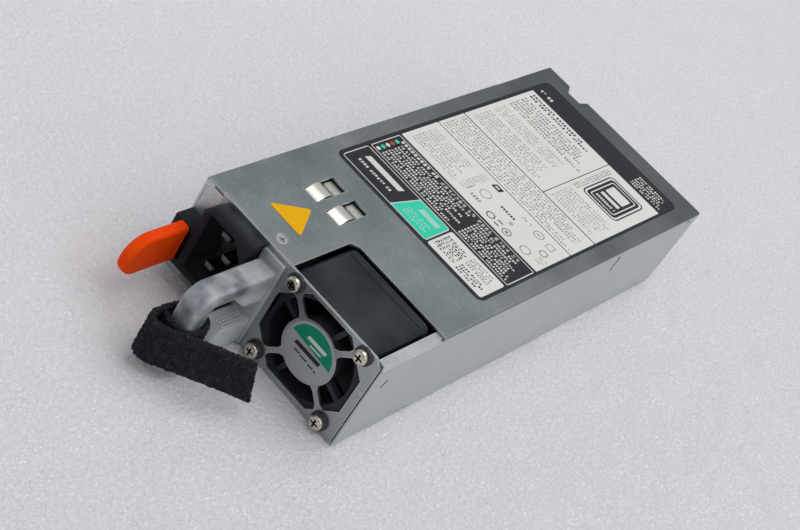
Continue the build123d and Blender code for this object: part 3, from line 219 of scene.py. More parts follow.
def plated(
    name, colour, rough=0.38, grain=(1, 1, 1), grainDepth=0.02, patch=0.10,
    metal=0.95, scratch=0.3, edgeHighlight=0.0, rear=0.0,
):
    # rolled or plated sheet: soft patches, fine grain along the roll, thin
    # scratches, painted highlights along the edges and painted shade darker at the rear
    shade = Shade(name)
    patches = shade.noise(sheetMarks["patch"], detail=4)
    fine = shade.noise(sheetMarks["grain"], grain, detail=2)
    specks = shade.noise(sheetMarks["speck"], detail=1)
    lines = shade.noise(sheetMarks["line"], (1, 14, 14), detail=2, turn=(0.2, 0.1, 0.5))
    scored = shade.ramp(lines, 0.66, 0.70)
    darker, lighter = mixed(colour, black, patch), mixed(colour, white, patch)
    tone = shade.blend(shade.ramp(patches, 0.3, 0.7), darker, lighter)
    speckled = shade.ramp(specks, 0.35, 0.65) * sheetMarks["speckShare"]
    tone = shade.blend(speckled, tone, mixed(colour, (0.1, 0.1, 0.11), 0.35))
    tone = shade.blend(scored * scratch, tone, mixed(colour, white, 0.5))
    # painted highlight: colour lightened along the sheet's sharp edges
    if edgeHighlight:
        tone = shade.blend(shade.rim(sheetMarks["rim"]) * edgeHighlight, tone, mixed(colour, white, 0.75))
    # painted shade: colour darkened towards the rear
    if rear:
        back = shade.ramp(shade.along("Y"), sheetMarks["rearShadeFrom"], sheetMarks["rearShadeTo"])
        tone = shade.blend(back * rear, tone, mixed(colour, black, 0.85))
    gloss = shade.ramp(patches + fine * 0.5, 0.45, 1.05, rough - 0.07, rough + 0.09)
    return shade.set(
        Base_Color=tone, Metallic=metal, Roughness=gloss,
        Normal=shade.bump(fine + specks * 0.6, grainDepth * mm, 0.5),
    )


mouldMarks = {"drift": 0.018, "grain": 0.00025, "mote": 0.0012}  # metres
dustColour = (0.42, 0.41, 0.39)


def moulded(name, colour, rough=0.45, depth=0.02, dust=0.12, shine=0.5):
    # moulded plastic: spark grain, slight colour drift and a little dust
    shade = Shade(name)
    drift = shade.noise(mouldMarks["drift"], detail=3)
    fine = shade.noise(mouldMarks["grain"], detail=2)
    motes = shade.noise(mouldMarks["mote"], detail=4, roughness=0.7)
    darker, lighter = mixed(colour, black, 0.18), mixed(colour, white, 0.025)
    tone = shade.blend(shade.ramp(drift, 0.3, 0.7), darker, lighter)
    tone = shade.blend(shade.ramp(motes, 0.60, 0.78) * dust, tone, dustColour)
    gloss = shade.ramp(drift + fine * 0.4, 0.4, 1.0, rough - 0.06, rough + 0.08)
    return shade.set(
        Base_Color=tone, Roughness=gloss, Specular_IOR_Level=shine,
        Normal=shade.bump(fine, depth * mm, 0.4),
    )


turnPitch = 0.0008  # metres from one turn of wire to the next


def wound(name, colour):
    # enamelled wire lying in turns
    shade = Shade(name)
    settings = {"wave_type": "BANDS", "bands_direction": "Z", "wave_profile": "SIN"}
    inputs = {"Vector": shade.place(), "Scale": 0.314 / turnPitch, "Distortion": 1.5}
    turns = shade.add("ShaderNodeTexWave", settings, inputs, "Fac")
    # painted shade: colour darker in the grooves between the turns
    tone = shade.blend(turns, mixed(colour, black, 0.6), colour)
    tone = shade.blend(shade.noise(0.003) * 0.3, tone, mixed(colour, (0.1, 0.02, 0), 0.5))
    return shade.set(
        Base_Color=tone, Metallic=0.7, Roughness=shade.ramp(turns, 0, 1, 0.5, 0.3),
        Normal=shade.bump(turns, 0.25 * mm),
    )


def dress(node, material):
    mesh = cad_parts[node].data
    mesh.materials.clear()
    mesh.materials.append(material)


# ---- modelling helpers

def deselect():
    if bpy.context.object and bpy.context.object.mode != "OBJECT":
        bpy.ops.object.mode_set(mode="OBJECT")
    for each in bpy.context.selected_objects:
        each.select_set(False)


def start(operator, **settings):
    deselect()
    operator(**settings)
    return bpy.context.object


def pick(piece, test, kind="FACE"):
    # selects the faces or vertices that pass the test and opens edit mode
    bpy.ops.object.mode_set(mode="EDIT")
    bpy.ops.mesh.select_mode(type=kind)
    bpy.ops.mesh.select_all(action="DESELECT")
    bpy.ops.object.mode_set(mode="OBJECT")
    if kind == "FACE":
        for face in piece.data.polygons:
            face.select = bool(test(face.center, face.normal))
    else:
        for point in piece.data.vertices:
            point.select = bool(test(point.co))
    bpy.ops.object.mode_set(mode="EDIT")


def applied(piece):
    if bpy.context.object.mode != "OBJECT":
        bpy.ops.object.mode_set(mode="OBJECT")
    bpy.ops.object.transform_apply(location=True, rotation=True, scale=True)
    return piece


def joined(parts, name):
    deselect()
    for part in parts:
        part.select_set(True)
    bpy.context.view_layer.objects.active = parts[0]
    if len(parts) > 1:
        bpy.ops.object.join()
    piece = bpy.context.object
    piece.name = name
    piece.data.name = name
    return piece


def modify(piece, kind, **settings):
    change = piece.modifiers.new(kind.lower(), kind)
    for key, value in settings.items():
        setattr(change, key, value)
    deselect()
    piece.select_set(True)
    bpy.context.view_layer.objects.active = piece
    bpy.ops.object.modifier_apply(modifier=change.name)


def settle(piece, material, body, smooth=None):
    # puts the piece's place in its mesh and hands it to its body
    deselect()
    piece.select_set(True)
    bpy.context.view_layer.objects.active = piece
    bpy.ops.object.transform_apply(location=True, rotation=True, scale=True)
    if smooth:
        bpy.ops.object.shade_smooth_by_angle(angle=math.radians(smooth))
    piece.data.materials.clear()
    piece.data.materials.append(material)
    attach(piece, body)
    return piece


# ---- floor

floorFinish = {
    "colour": (0.80, 0.79, 0.815), "bright": (0.90, 0.885, 0.91), "paintedGlintColour": (1.0, 1.0, 1.0),
    "cells": 0.0019, "swells": 0.035, "paintedGlints": 0.0011, "drifts": 0.009,  # metres
    "depth": 1.5,  # mm
    "paintedLightFrom": 0.10, "paintedLightTo": -0.22,  # metres across; painted light, the floor coloured brighter to the left
}
floor = start(bpy.ops.mesh.primitive_plane_add, size=8, location=(0, 0, -0.0002))
floor.name = "floor"
shade = Shade("paleFoam")
tufts = shade.noise(floorFinish["cells"], detail=3, roughness=0.75)
swells = shade.noise(floorFinish["swells"], detail=2)
# painted glints: small white spots in the floor colour, where the foam is also less rough
paintedGlints = shade.ramp(shade.noise(floorFinish["paintedGlints"], detail=2), 0.585, 0.655)
pale = floorFinish["colour"]
tone = shade.blend(shade.ramp(tufts, 0.35, 0.65), mixed(pale, black, 0.13), pale)
tone = shade.blend(shade.ramp(swells, 0.3, 0.7) * 0.25, tone, mixed(pale, (0.5, 0.5, 0.5), 0.25))
# painted light: floor colour made lighter towards the left
lit = shade.ramp(shade.along("X"), floorFinish["paintedLightFrom"], floorFinish["paintedLightTo"])
tone = shade.blend(lit * shade.ramp(tufts, 0.35, 0.60, 0.6, 1.0), tone, floorFinish["bright"])
# the painted glints gather in drifts
drifts = shade.ramp(shade.noise(floorFinish["drifts"], detail=3), 0.38, 0.62, 0.25, 1.0)
tone = shade.blend(paintedGlints * drifts, tone, floorFinish["paintedGlintColour"])
floor.data.materials.append(shade.set(
    Base_Color=tone, Roughness=shade.ramp(paintedGlints, 0, 1, 0.75, 0.3),
    Normal=shade.bump(tufts + swells * 3, floorFinish["depth"] * mm, 0.7),
))
print("floor laid")


# ---- sheet metal

steel = {
    "tray": (0.575, 0.605, 0.615),
    "cover": (0.262, 0.295, 0.31),
    "panel": (0.41, 0.425, 0.435),
    "rear": (0.44, 0.46, 0.47),
}
dress("chassis_tray", plated("traySteel", steel["tray"], rough=0.40, grain=(1, 0.12, 1), edgeHighlight=0.8))
dress("top_cover", plated(
    "coverSteel", steel["cover"], rough=0.42, grain=(1, 0.12, 1), grainDepth=0.035, edgeHighlight=1.0, rear=0.52,
))
dress("front_panel", plated("panelSteel", steel["panel"], rough=0.36, grain=(0.2, 1, 1), edgeHighlight=0.9))
dress("rear_panel", plated("rearSteel", steel["rear"], rough=0.40))
dress("cover_screw", plated("coverScrewPlate", (0.62, 0.65, 0.66), rough=0.30, patch=0.15))
panHead = {
    "colour": (0.80, 0.74, 0.64), "worn": (0.1, 0.08, 0.05), "paintedShade": (0.02, 0.017, 0.013),
    "pitch": 16.0, "centre": (18.7, 19.9), "face": -2.7, "slot": 1.7, "thread": 1.0,  # mm
}
shade = Shade("panHeadPlate")
outward = [
    abs(abs(shade.along(axis) - middle * mm) - panHead["pitch"] * mm)
    for axis, middle in zip("XZ", panHead["centre"])
]
nearMiddle = (outward[0] * outward[0] + outward[1] * outward[1]) < (panHead["slot"] * mm) ** 2
deep = shade.along("Y") > caseFront + panHead["face"] * mm
behindPanel = shade.along("Y") > caseFront + panHead["thread"] * mm
grime = shade.noise(0.0009, detail=3)
grimy = mixed(panHead["colour"], panHead["worn"], 0.45)
tone = shade.blend(shade.ramp(grime, 0.35, 0.65), grimy, panHead["colour"])
# painted shade: near black in the screws' cross recesses and where they lie behind the panel
tone = shade.blend((nearMiddle * deep).most(behindPanel), tone, panHead["paintedShade"])
dress("fan_screws", shade.set(
    Base_Color=tone, Metallic=1.0, Roughness=shade.ramp(grime, 0.3, 0.7, 0.16, 0.30),
))
dress("board_screws", plated("boardScrewPlate", (0.66, 0.64, 0.58), rough=0.3))
dress("board_standoffs", plated("standoffPlate", (0.60, 0.60, 0.58), rough=0.35))
dress("primary_heatsink", plated("primarySink", (0.62, 0.62, 0.62), rough=0.45, grain=(1, 0.05, 1)))
dress("output_heatsink", plated("outputSink", (0.60, 0.60, 0.61), rough=0.45, grain=(1, 0.05, 1)))
for spring in ("contact_spring_left", "contact_spring_right"):
    dress(spring, plated(
        "springPlate", (0.97, 0.94, 0.85), rough=0.24, grain=(0.05, 1, 1),
        grainDepth=0.008, patch=0.06, metal=1.0, scratch=0.1,
    ))
for spring in ("latch_spring", "latch_clip", "latch_lever"):
    dress(spring, plated("latchSteel", (0.66, 0.66, 0.64), rough=0.3))
# painted shade: the pins coloured near black for the dark recess they sit in, with painted highlights on
# their edges
dress("inlet_pins", plated(
    "inletPinPaintedShade", (0.032, 0.031, 0.031), rough=0.36, patch=0.35, metal=1.0, edgeHighlight=0.12,
))
for pin in ("latch_pin", "fan_shaft"):
    dress(pin, plated("pinPlate", (0.86, 0.85, 0.83), rough=0.22, patch=0.1, metal=1.0))
print("metal dressed")


# ---- plastics, rubber and the parts inside

inletFinish = {
    "bezel": (0.020, 0.020, 0.026), "recess": (0.085, 0.095, 0.10),
    "from": -5.0, "to": 4.0,  # mm from the front
}
shade = Shade("inletNylon")
# painted light: the inlet's recess coloured lighter than its bezel, further in from the front
inside = shade.ramp(
    shade.along("Y"), caseFront + inletFinish["from"] * mm, caseFront + inletFinish["to"] * mm,
)
drift = shade.noise(0.006, detail=3)
grain = shade.noise(mouldMarks["grain"], detail=2)
tone = shade.blend(inside * shade.ramp(drift, 0.2, 0.6), inletFinish["bezel"], inletFinish["recess"])
dress("inlet_housing", shade.set(
    Base_Color=tone, Roughness=shade.ramp(drift, 0.3, 0.7, 0.44, 0.56), Specular_IOR_Level=0.12,
    Normal=shade.bump(grain, 0.03 * mm, 0.4),
))
dress("fan_frame", moulded("fanFrameNylon", (0.021, 0.025, 0.033), rough=0.46, dust=0.008, shine=0.08))
dress("fan_rotor", moulded("fanBladeNylon", (0.012, 0.014, 0.017), rough=0.50, dust=0.004, shine=0.1))
dress("fan_grommets", moulded("grommetRubber", (0.022, 0.021, 0.021), rough=0.62, dust=0.10))
dress("fan_magnet", moulded("magnetFerrite", (0.10, 0.10, 0.10), rough=0.6))
tabFinish = {"deep": (0.93, 0.055, 0.002), "lit": (1.0, 0.082, 0.003)}
shade = Shade("tabNylon")
drift = shade.noise(0.012, detail=3)
grain = shade.noise(0.0004, detail=2)
dress("latch_tab", shade.set(
    Base_Color=shade.blend(shade.ramp(drift, 0.35, 0.65), tabFinish["deep"], tabFinish["lit"]),
    Roughness=shade.ramp(drift, 0.3, 0.7, 0.40, 0.50), Specular_IOR_Level=0.05,
    Normal=shade.bump(grain, 0.008 * mm, 0.4),
))
dress("status_led", moulded("ledLens", (0.55, 0.75, 0.45), rough=0.2, dust=0.0))
dress("led_board", moulded("ledBoardMask", (0.02, 0.14, 0.06), rough=0.4))
dress("insulation_sheet", moulded("insulationFilm", (0.75, 0.75, 0.70), rough=0.35))
dress("fan_plug", moulded("fanPlugNylon", (0.80, 0.78, 0.70), rough=0.45))
dress("inlet_leads", moulded("leadJacket", (0.45, 0.02, 0.015), rough=0.4))
dress("film_capacitors", moulded("filmCapacitorCase", (0.72, 0.52, 0.08), rough=0.35))
dress("inlet_fuse", moulded("fuseCeramic", (0.80, 0.78, 0.72), rough=0.4))
dress("inrush_relay", moulded("relayCase", (0.03, 0.06, 0.22), rough=0.35))
for core in ("choke_core", "boost_core", "transformer_core", "resonant_choke"):
    dress(core, moulded("sinteredFerrite", (0.05, 0.05, 0.052), rough=0.55, depth=0.04))
for coil in ("choke_coils", "boost_coil", "fan_windings", "output_busbars"):
    dress(coil, wound("copperTurns", (0.62, 0.26, 0.10)))
for coil in ("transformer_coil", "standby_transformer"):
    dress(coil, moulded("windingTape", (0.75, 0.55, 0.12), rough=0.4))
for sleeve in ("bulk_capacitors", "output_capacitors"):
    dress(sleeve, moulded("capacitorSleeve", (0.03, 0.035, 0.07), rough=0.3))
for package in ("primary_transistors", "bridge_rectifier", "output_transistors"):
    dress(package, moulded("packageEpoxy", (0.03, 0.03, 0.03), rough=0.5))
dress("fan_stator", plated("statorSteel", (0.40, 0.40, 0.41), rough=0.45))
dress("fan_bearing", plated("bearingBronze", (0.60, 0.42, 0.22), rough=0.4))
dress("edge_contacts", plated("contactGold", (0.95, 0.68, 0.25), rough=0.25, patch=0.05, metal=1.0))
for board in ("main_board", "control_board"):
    dress(board, moulded("boardMask", (0.02, 0.15, 0.06), rough=0.35))

shade = Shade("leadSleeve")
creases = shade.noise(0.002)
tone = shade.blend(creases, (0.010, 0.010, 0.011), (0.020, 0.020, 0.022))
dress("fan_leads", shade.set(
    Base_Color=tone, Roughness=shade.ramp(creases, 0.3, 0.7, 0.4, 0.55), Specular_IOR_Level=0.2,
))


# ---- clear pull handle: cloudy, with painted highlights on its edges and painted light on its low root

handleFinish = {
    "colour": (0.47, 0.50, 0.52), "dark": (0.17, 0.185, 0.21),
    "edge": (0.86, 0.89, 0.91), "root": (0.80, 0.84, 0.86),
    "cloud": 0.008, "grain": 0.0003,  # metres
    "rim": 0.8, "rootFrom": -22, "rootTo": -12, "rootTop": 30, "rootFull": 25,  # mm
}
shade = Shade("handleFrosted")
cloud = shade.noise(handleFinish["cloud"], detail=3)
fine = shade.noise(handleFinish["grain"], detail=2)
tone = shade.blend(shade.ramp(cloud, 0.35, 0.62), handleFinish["dark"], handleFinish["colour"])
nearPanel = shade.ramp(
    shade.along("Y"), caseFront + handleFinish["rootFrom"] * mm, caseFront + handleFinish["rootTo"] * mm,
)
lowDown = shade.ramp(shade.along("Z"), handleFinish["rootTop"] * mm, handleFinish["rootFull"] * mm)
# painted light: the low root near the panel coloured lighter
tone = shade.blend(nearPanel * lowDown * 0.7, tone, handleFinish["root"])
# painted highlight: the handle's edges coloured lighter
tone = shade.blend(shade.rim(handleFinish["rim"]) * 0.75, tone, handleFinish["edge"])
dress("pull_handle", shade.set(
    Base_Color=tone, Roughness=shade.ramp(cloud, 0.3, 0.7, 0.30, 0.42),
    Subsurface_Weight=0.75, Subsurface_Radius=(1.0, 1.0, 1.05), Subsurface_Scale=0.010,
    Transmission_Weight=0.12, IOR=1.42, Normal=shade.bump(fine, 0.02 * mm, 0.3),
))
print("plastics dressed")


# ---- inks and label stock

inkMarks = {"wear": 0.0015, "broad": 0.03}  # metres


def ink(name, colour, rough=0.35, worn=0.10):
    shade = Shade(name)
    patch = shade.noise(inkMarks["wear"], detail=3, roughness=0.7)
    broad = shade.noise(inkMarks["broad"])
    rubbed = mixed(colour, (0.45, 0.45, 0.45), 0.5)
    tone = shade.blend(shade.ramp(patch, 0.45, 0.75) * worn, colour, rubbed)
    tone = shade.blend(shade.ramp(broad, 0.3, 0.7) * 0.12, tone, mixed(colour, black, 0.4))
    return shade.set(
        Base_Color=tone, Roughness=shade.ramp(broad, 0.3, 0.7, rough - 0.05, rough + 0.07),
        Specular_IOR_Level=0.12, Normal=shade.bump(patch, 0.004 * mm, 0.4),
    )


inks = {
    "stock": ink("labelStock", (0.026, 0.027, 0.031), rough=0.44),
    "black": ink("inkBlack", (0.026, 0.027, 0.031), rough=0.44),
    "white": ink("inkWhite", (0.72, 0.72, 0.69), rough=0.42, worn=0.05),
    "paper": ink("labelPaper", (0.78, 0.785, 0.745), rough=0.42, worn=0.05),
    "green": ink("inkGreen", (0.045, 0.68, 0.46), rough=0.38),
    "red": ink("inkRed", (0.60, 0.06, 0.03)),
    "grey": ink("inkGrey", (0.30, 0.30, 0.295)),
    "pale": ink("inkPaleGrey", (0.45, 0.455, 0.44)),
    "mint": ink("inkMint", (0.40, 0.72, 0.58)),
}
dress("rating_label", inks["stock"])
dress("notice_sticker", ink("stickerYellow", (0.90, 0.46, 0.0), rough=0.40, worn=0.0))
dress("fan_label", ink("discSilver", (0.42, 0.43, 0.44), rough=0.34, worn=0.15))
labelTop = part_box("rating_label")[1].z


# ---- the print on the rating label, as thin pieces of each ink

printed = {name: [] for name in inks}
inkRise = 0.015  # mm from one layer of ink to the next


def onLabel(across, back, level):
    return (across * mm, back * mm + caseFront, labelTop + level * inkRise * mm)


def slab(colour, left, right, near, far, level, corner=0.0, lean=0.0, leanLeft=0.0):
    # a flat block of ink; lean moves its right end, leanLeft its left end, at the far side
    middle = Vector(onLabel((left + right) / 2, (near + far) / 2, level))
    piece = start(bpy.ops.mesh.primitive_plane_add, size=1, location=middle)
    piece.scale = ((right - left) * mm, (far - near) * mm, 1)
    applied(piece)
    for reach, side in ((lean, 1), (leanLeft, -1)):
        if reach:
            pick(piece, lambda p: (p.x - middle.x) * side > 0 and p.y > middle.y, "VERT")
            bpy.ops.transform.translate(value=(reach * mm, 0, 0))
            bpy.ops.object.mode_set(mode="OBJECT")
    if corner:
        pick(piece, lambda p: True, "VERT")
        bpy.ops.mesh.bevel(offset=corner * mm, segments=4, affect="VERTICES")
        bpy.ops.object.mode_set(mode="OBJECT")
    printed[colour].append(piece)
    return piece


def frameLine(colour, left, right, near, far, level, wide, corner=0.0):
    piece = slab(colour, left, right, near, far, level, corner)
    pick(piece, lambda centre, normal: True)
    bpy.ops.mesh.inset(thickness=wide * mm)
    bpy.ops.mesh.delete(type="FACE")
    bpy.ops.object.mode_set(mode="OBJECT")


def dot(colour, across, back, level, radius, wide=0.0):
    # a round spot, or a ring where it has a line width
    piece = start(
        bpy.ops.mesh.primitive_circle_add, vertices=24, radius=radius * mm, fill_type="NGON",
        location=onLabel(across, back, level),
    )
    applied(piece)
    if wide:
        pick(piece, lambda centre, normal: True)
        bpy.ops.mesh.inset(thickness=wide * mm)
        bpy.ops.mesh.delete(type="FACE")
        bpy.ops.object.mode_set(mode="OBJECT")
    printed[colour].append(piece)


def words(colour, left, right, near, far, level, rows, seed, cell=0.36, full=0.80, ragged=0.25):
    # rows of tiny unreadable dashes in the place of text
    dice = random.Random(seed)
    columns = max(4, round((right - left) / cell))
    bands = rows * 5
    piece = start(
        bpy.ops.mesh.primitive_grid_add, x_subdivisions=columns, y_subdivisions=bands, size=1,
        location=onLabel((left + right) / 2, (near + far) / 2, level),
    )
    piece.scale = ((right - left) * mm, (far - near) * mm, 1)
    applied(piece)
    kept = set()
    for row in range(rows):
        ends = columns * (1 - dice.random() * ragged)
        column = 0
        while column < ends:
            wordEnd = column + 3 * dice.randint(2, 9)
            while column < min(wordEnd, ends):
                for band in range(3):
                    for step in range(2):
                        if dice.random() < full:
                            kept.add((column + step, row * 5 + band + 1))
                column += 3
            column += 2
    corner = onLabel(left, near, level)
    wide = (right - left) * mm / columns
    tall = (far - near) * mm / bands
    pick(piece, lambda c, n: (int((c.x - corner[0]) / wide), int((c.y - corner[1]) / tall)) not in kept)
    bpy.ops.mesh.delete(type="FACE")
    bpy.ops.object.mode_set(mode="OBJECT")
    printed[colour].append(piece)


# front row: plain black block, green block with a slanting side, pale code block
slab("white", -34.9, 7.9, 59.3, 73.7, 1, corner=1.2)
slab("black", -34.5, -10.35, 59.7, 73.3, 2, corner=0.5, lean=3.0)
slab("green", -9.9, 7.5, 59.7, 73.3, 2, corner=0.5, leanLeft=3.0)
slab("white", -31.0, -13.4, 67.6, 70.4, 3, lean=0.8, leanLeft=0.8)
words("white", -30.9, -14.6, 63.4, 65.6, 3, 1, seed=3, cell=0.42, full=0.9, ragged=0.0)
slab("mint", -3.9, 5.2, 68.2, 70.8, 3, lean=0.6, leanLeft=0.6)
words("mint", -6.2, 5.0, 61.6, 66.4, 3, 3, seed=4, cell=0.34)
slab("paper", 8.7, 35.4, 59.3, 73.7, 1, corner=1.0)
words("black", 9.7, 19.7, 61.6, 71.0, 2, 8, seed=5, cell=0.5, full=0.72, ragged=0.0)
words("black", 21.4, 34.2, 60.6, 65.4, 2, 3, seed=6, cell=0.36)
words("grey", 21.4, 32.4, 66.4, 72.4, 2, 4, seed=7, cell=0.34)

# second row: states block, dots and rows of small text on black
slab("white", -34.9, 35.6, 75.0, 91.8, 1, corner=0.9)
slab("black", -34.5, 35.2, 75.4, 91.4, 2, corner=0.6)
for colour, back in (("white", 76.9), ("green", 79.6), ("white", 82.3), ("red", 85.0), ("green", 87.7)):
    dot(colour, -32.4, back, 3, 0.95)
words("white", -31.8, -12.4, 88.6, 91.4, 3, 1, seed=11, cell=0.55, full=0.92, ragged=0.0)
words("pale", -10.6, 29.8, 88.2, 91.0, 3, 1, seed=12, cell=0.62, full=0.78, ragged=0.0)
words("white", -30.2, 6.8, 75.9, 88.4, 3, 7, seed=13, full=0.86)
words("white", 9.6, 33.6, 75.9, 88.4, 3, 7, seed=14, full=0.86)

# third row: faint text at the left, plain marks at the right
slab("paper", -34.9, 35.6, 93.0, 115.1, 1, corner=0.5)
words("pale", -32.6, -9.0, 96.2, 111.6, 2, 8, seed=21, cell=0.36, full=0.7)
words("pale", -8.0, -4.6, 97.0, 113.2, 2, 9, seed=22, cell=0.30, full=0.7)
slab("pale", -5.0, -4.7, 98.0, 103.4, 2)
slab("black", -2.6, 1.4, 111.0, 113.9, 2, corner=0.3, lean=0.8, leanLeft=0.8)
slab("paper", -1.5, 0.6, 112.0, 112.9, 3)
dot("grey", 0.1, 104.4, 2, 2.5, wide=0.35)
words("grey", -2.5, 2.7, 97.0, 99.8, 2, 1, seed=24, cell=0.42, full=0.95, ragged=0.0)
words("black", 7.0, 14.4, 104.9, 106.9, 2, 1, seed=23, cell=0.42, full=0.95, ragged=0.0)
dot("black", 8.6, 97.4, 2, 1.9, wide=0.45)
slab("black", 11.4, 13.9, 95.7, 96.3, 2)
slab("black", 11.4, 13.9, 98.3, 98.9, 2)
dot("grey", 17.2, 96.9, 2, 2.1, wide=0.55)
dot("grey", 17.2, 96.9, 2, 0.8)
words("pale", 14.4, 19.6, 109.6, 112.2, 2, 1, seed=25, cell=0.42)
dot("pale", 14.8, 102.6, 2, 1.0)
dot("grey", 23.4, 110.0, 2, 2.3, wide=0.4)
slab("grey", 22.4, 24.4, 109.7, 110.3, 2)
dot("grey", 26.4, 97.4, 2, 2.3, wide=0.4)
frameLine("grey", 27.9, 31.3, 107.9, 111.3, 2, 0.35, corner=0.4)
dot("grey", 30.6, 103.9, 2, 1.8, wide=0.5)
words("pale", 31.2, 34.4, 97.0, 101.8, 2, 3, seed=26, cell=0.32)

# fourth row: rows of small grey text
slab("paper", -34.9, 35.6, 115.5, 131.6, 1, corner=0.3)
words("grey", -33.6, 34.4, 116.4, 131.0, 2, 8, seed=31, cell=0.36, full=0.62)

# rear field: two panes and a plain badge
slab("paper", -34.9, 8.0, 132.1, 178.8, 1, corner=0.3)
slab("paper", 8.35, 35.6, 132.1, 178.8, 1, corner=0.3)
words("pale", -32.6, 4.0, 134.4, 146.6, 2, 6, seed=41, cell=0.40, full=0.75)
words("pale", -32.6, 5.4, 148.6, 156.4, 2, 4, seed=42, cell=0.38, full=0.7)
words("grey", -32.6, 6.4, 158.8, 171.6, 2, 6, seed=43, cell=0.40, full=0.8)
words("black", -32.6, 3.6, 173.2, 177.6, 2, 2, seed=44, cell=0.46, full=0.85)
words("pale", 10.2, 33.0, 134.4, 148.2, 2, 7, seed=45, cell=0.38, full=0.7)
frameLine("black", 13.2, 31.2, 152.0, 174.2, 2, 0.6, corner=2.4)
slab("black", 14.6, 29.8, 153.4, 172.8, 2, corner=1.6)
frameLine("paper", 15.8, 28.6, 154.6, 171.6, 3, 0.5, corner=1.2)
slab("paper", 17.6, 26.8, 163.4, 169.6, 3, corner=0.8)
slab("paper", 17.6, 26.8, 159.9, 161.9, 3, corner=0.2)
words("paper", 17.4, 27.0, 156.2, 158.6, 3, 1, seed=46, cell=0.36, full=0.9, ragged=0.0)
words("grey", 9.8, 12.4, 150.0, 176.0, 2, 14, seed=47, cell=0.34)

# rear strip: short white dashes at its right end
words("white", 18.4, 34.6, 180.4, 189.2, 2, 5, seed=51, cell=0.36, full=0.8)
words("white", -33.6, -24.4, 181.6, 184.6, 2, 1, seed=52, cell=0.5, full=0.75)

for colour, parts in printed.items():
    if parts:
        piece = joined(parts, "label_print_" + colour)
        settle(piece, inks[colour], "chassis")
print("label printed")


# ---- square body of the fan between its flanges, as seen through the cover

fanBody = {"half": 18.8, "flat": 17.5, "front": 3.6, "back": 27.6, "wall": 0.8}  # mm
fanLow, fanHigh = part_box("fan_frame")
shell = start(
    bpy.ops.mesh.primitive_cube_add, size=1,
    location=(
        (fanLow.x + fanHigh.x) / 2, caseFront + (fanBody["front"] + fanBody["back"]) / 2 * mm,
        (fanLow.z + fanHigh.z) / 2,
    ),
)
shell.scale = (2 * fanBody["half"] * mm, (fanBody["back"] - fanBody["front"]) * mm, 2 * fanBody["half"] * mm)
applied(shell)
pick(shell, lambda centre, normal: abs(normal.y) > 0.5)
bpy.ops.mesh.delete(type="ONLY_FACE")
bpy.ops.mesh.select_mode(type="EDGE")
bpy.ops.object.mode_set(mode="OBJECT")
for edge in shell.data.edges:
    a, b = (shell.data.vertices[end].co for end in edge.vertices)
    edge.select = abs(a.y - b.y) > mm
bpy.ops.object.mode_set(mode="EDIT")
bpy.ops.mesh.bevel(offset=(fanBody["half"] - fanBody["flat"]) * mm, segments=1, affect="EDGES")
bpy.ops.mesh.select_all(action="SELECT")
bpy.ops.mesh.normals_make_consistent(inside=False)
bpy.ops.object.mode_set(mode="OBJECT")
modify(shell, "SOLIDIFY", thickness=fanBody["wall"] * mm, offset=-1.0)
shell.name = "fan_body_shell"
settle(shell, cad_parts["fan_frame"].data.materials[0], "chassis")


# ---- the round label on the grille

discLow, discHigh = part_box("fan_label")
disc = {
    "centre": ((discLow.x + discHigh.x) / 2, (discLow.z + discHigh.z) / 2),
    "radius": (discHigh.x - discLow.x) / 2,
    "face": discLow.y - 0.015 * mm,
    "chord": 0.12,  # where the green starts, as a share of the radius above the centre
    "greenShare": 0.90,
    "tilt": 6,  # degrees
    "barRise": 0.02,  # mm
    "paleBars": [(0.9, 4.3, 8.4, 1.5, 0.4), (1.5, 2.3, 5.2, 0.6, 0.1)],  # mm; across, up, wide, tall, slant
    "darkBar": (-0.6, -0.7, 11.4, 1.7, 0.4),
    "dashes": [(-3.9, 2.6), (-0.6, 3.2), (2.9, 2.2), (5.0, 1.0)],  # mm; across, wide
}


def onDisc(across, up, rise=0):
    return (disc["centre"][0] + across * mm, disc["face"] - rise * mm, disc["centre"][1] + up * mm)


def discBar(across, up, wide, tall, slant):
    piece = start(
        bpy.ops.mesh.primitive_plane_add, size=1, location=onDisc(across, up, disc["barRise"]),
        rotation=(math.radians(90), 0, 0),
    )
    piece.scale = (wide * mm, tall * mm, 1)
    applied(piece)
    middle = onDisc(across, up)[2]
    pick(piece, lambda p: p.z > middle, "VERT")
    bpy.ops.transform.translate(value=(slant * mm, 0, 0))
    bpy.ops.object.mode_set(mode="OBJECT")
    return piece


green = start(
    bpy.ops.mesh.primitive_circle_add, vertices=72, radius=disc["radius"] * disc["greenShare"],
    fill_type="NGON", location=onDisc(0, 0), rotation=(math.radians(90), 0, 0),
)
applied(green)
pick(green, lambda centre, normal: True)
tilt = math.radians(disc["tilt"])
bpy.ops.mesh.bisect(
    plane_co=onDisc(0, disc["chord"] * disc["radius"] / mm),
    plane_no=(math.sin(tilt), 0, math.cos(tilt)), clear_inner=True, use_fill=False,
)
bpy.ops.object.mode_set(mode="OBJECT")
green.name = "fan_label_green"
settle(green, ink("discGreen", (0.004, 0.27, 0.155), rough=0.34), "chassis")

paleBars = [discBar(*bar) for bar in disc["paleBars"]]
settle(joined(paleBars, "fan_label_pale_bars"), inks["white"], "chassis")
darkBars = [discBar(*disc["darkBar"])]
darkBars += [discBar(across, -3.6 - 0.09 * across, wide, 0.6, 0.1) for across, wide in disc["dashes"]]
settle(joined(darkBars, "fan_label_dark_bars"), inks["black"], "chassis")
print("fan label printed")


# ---- raised patch with rows of pips on the handle's low root

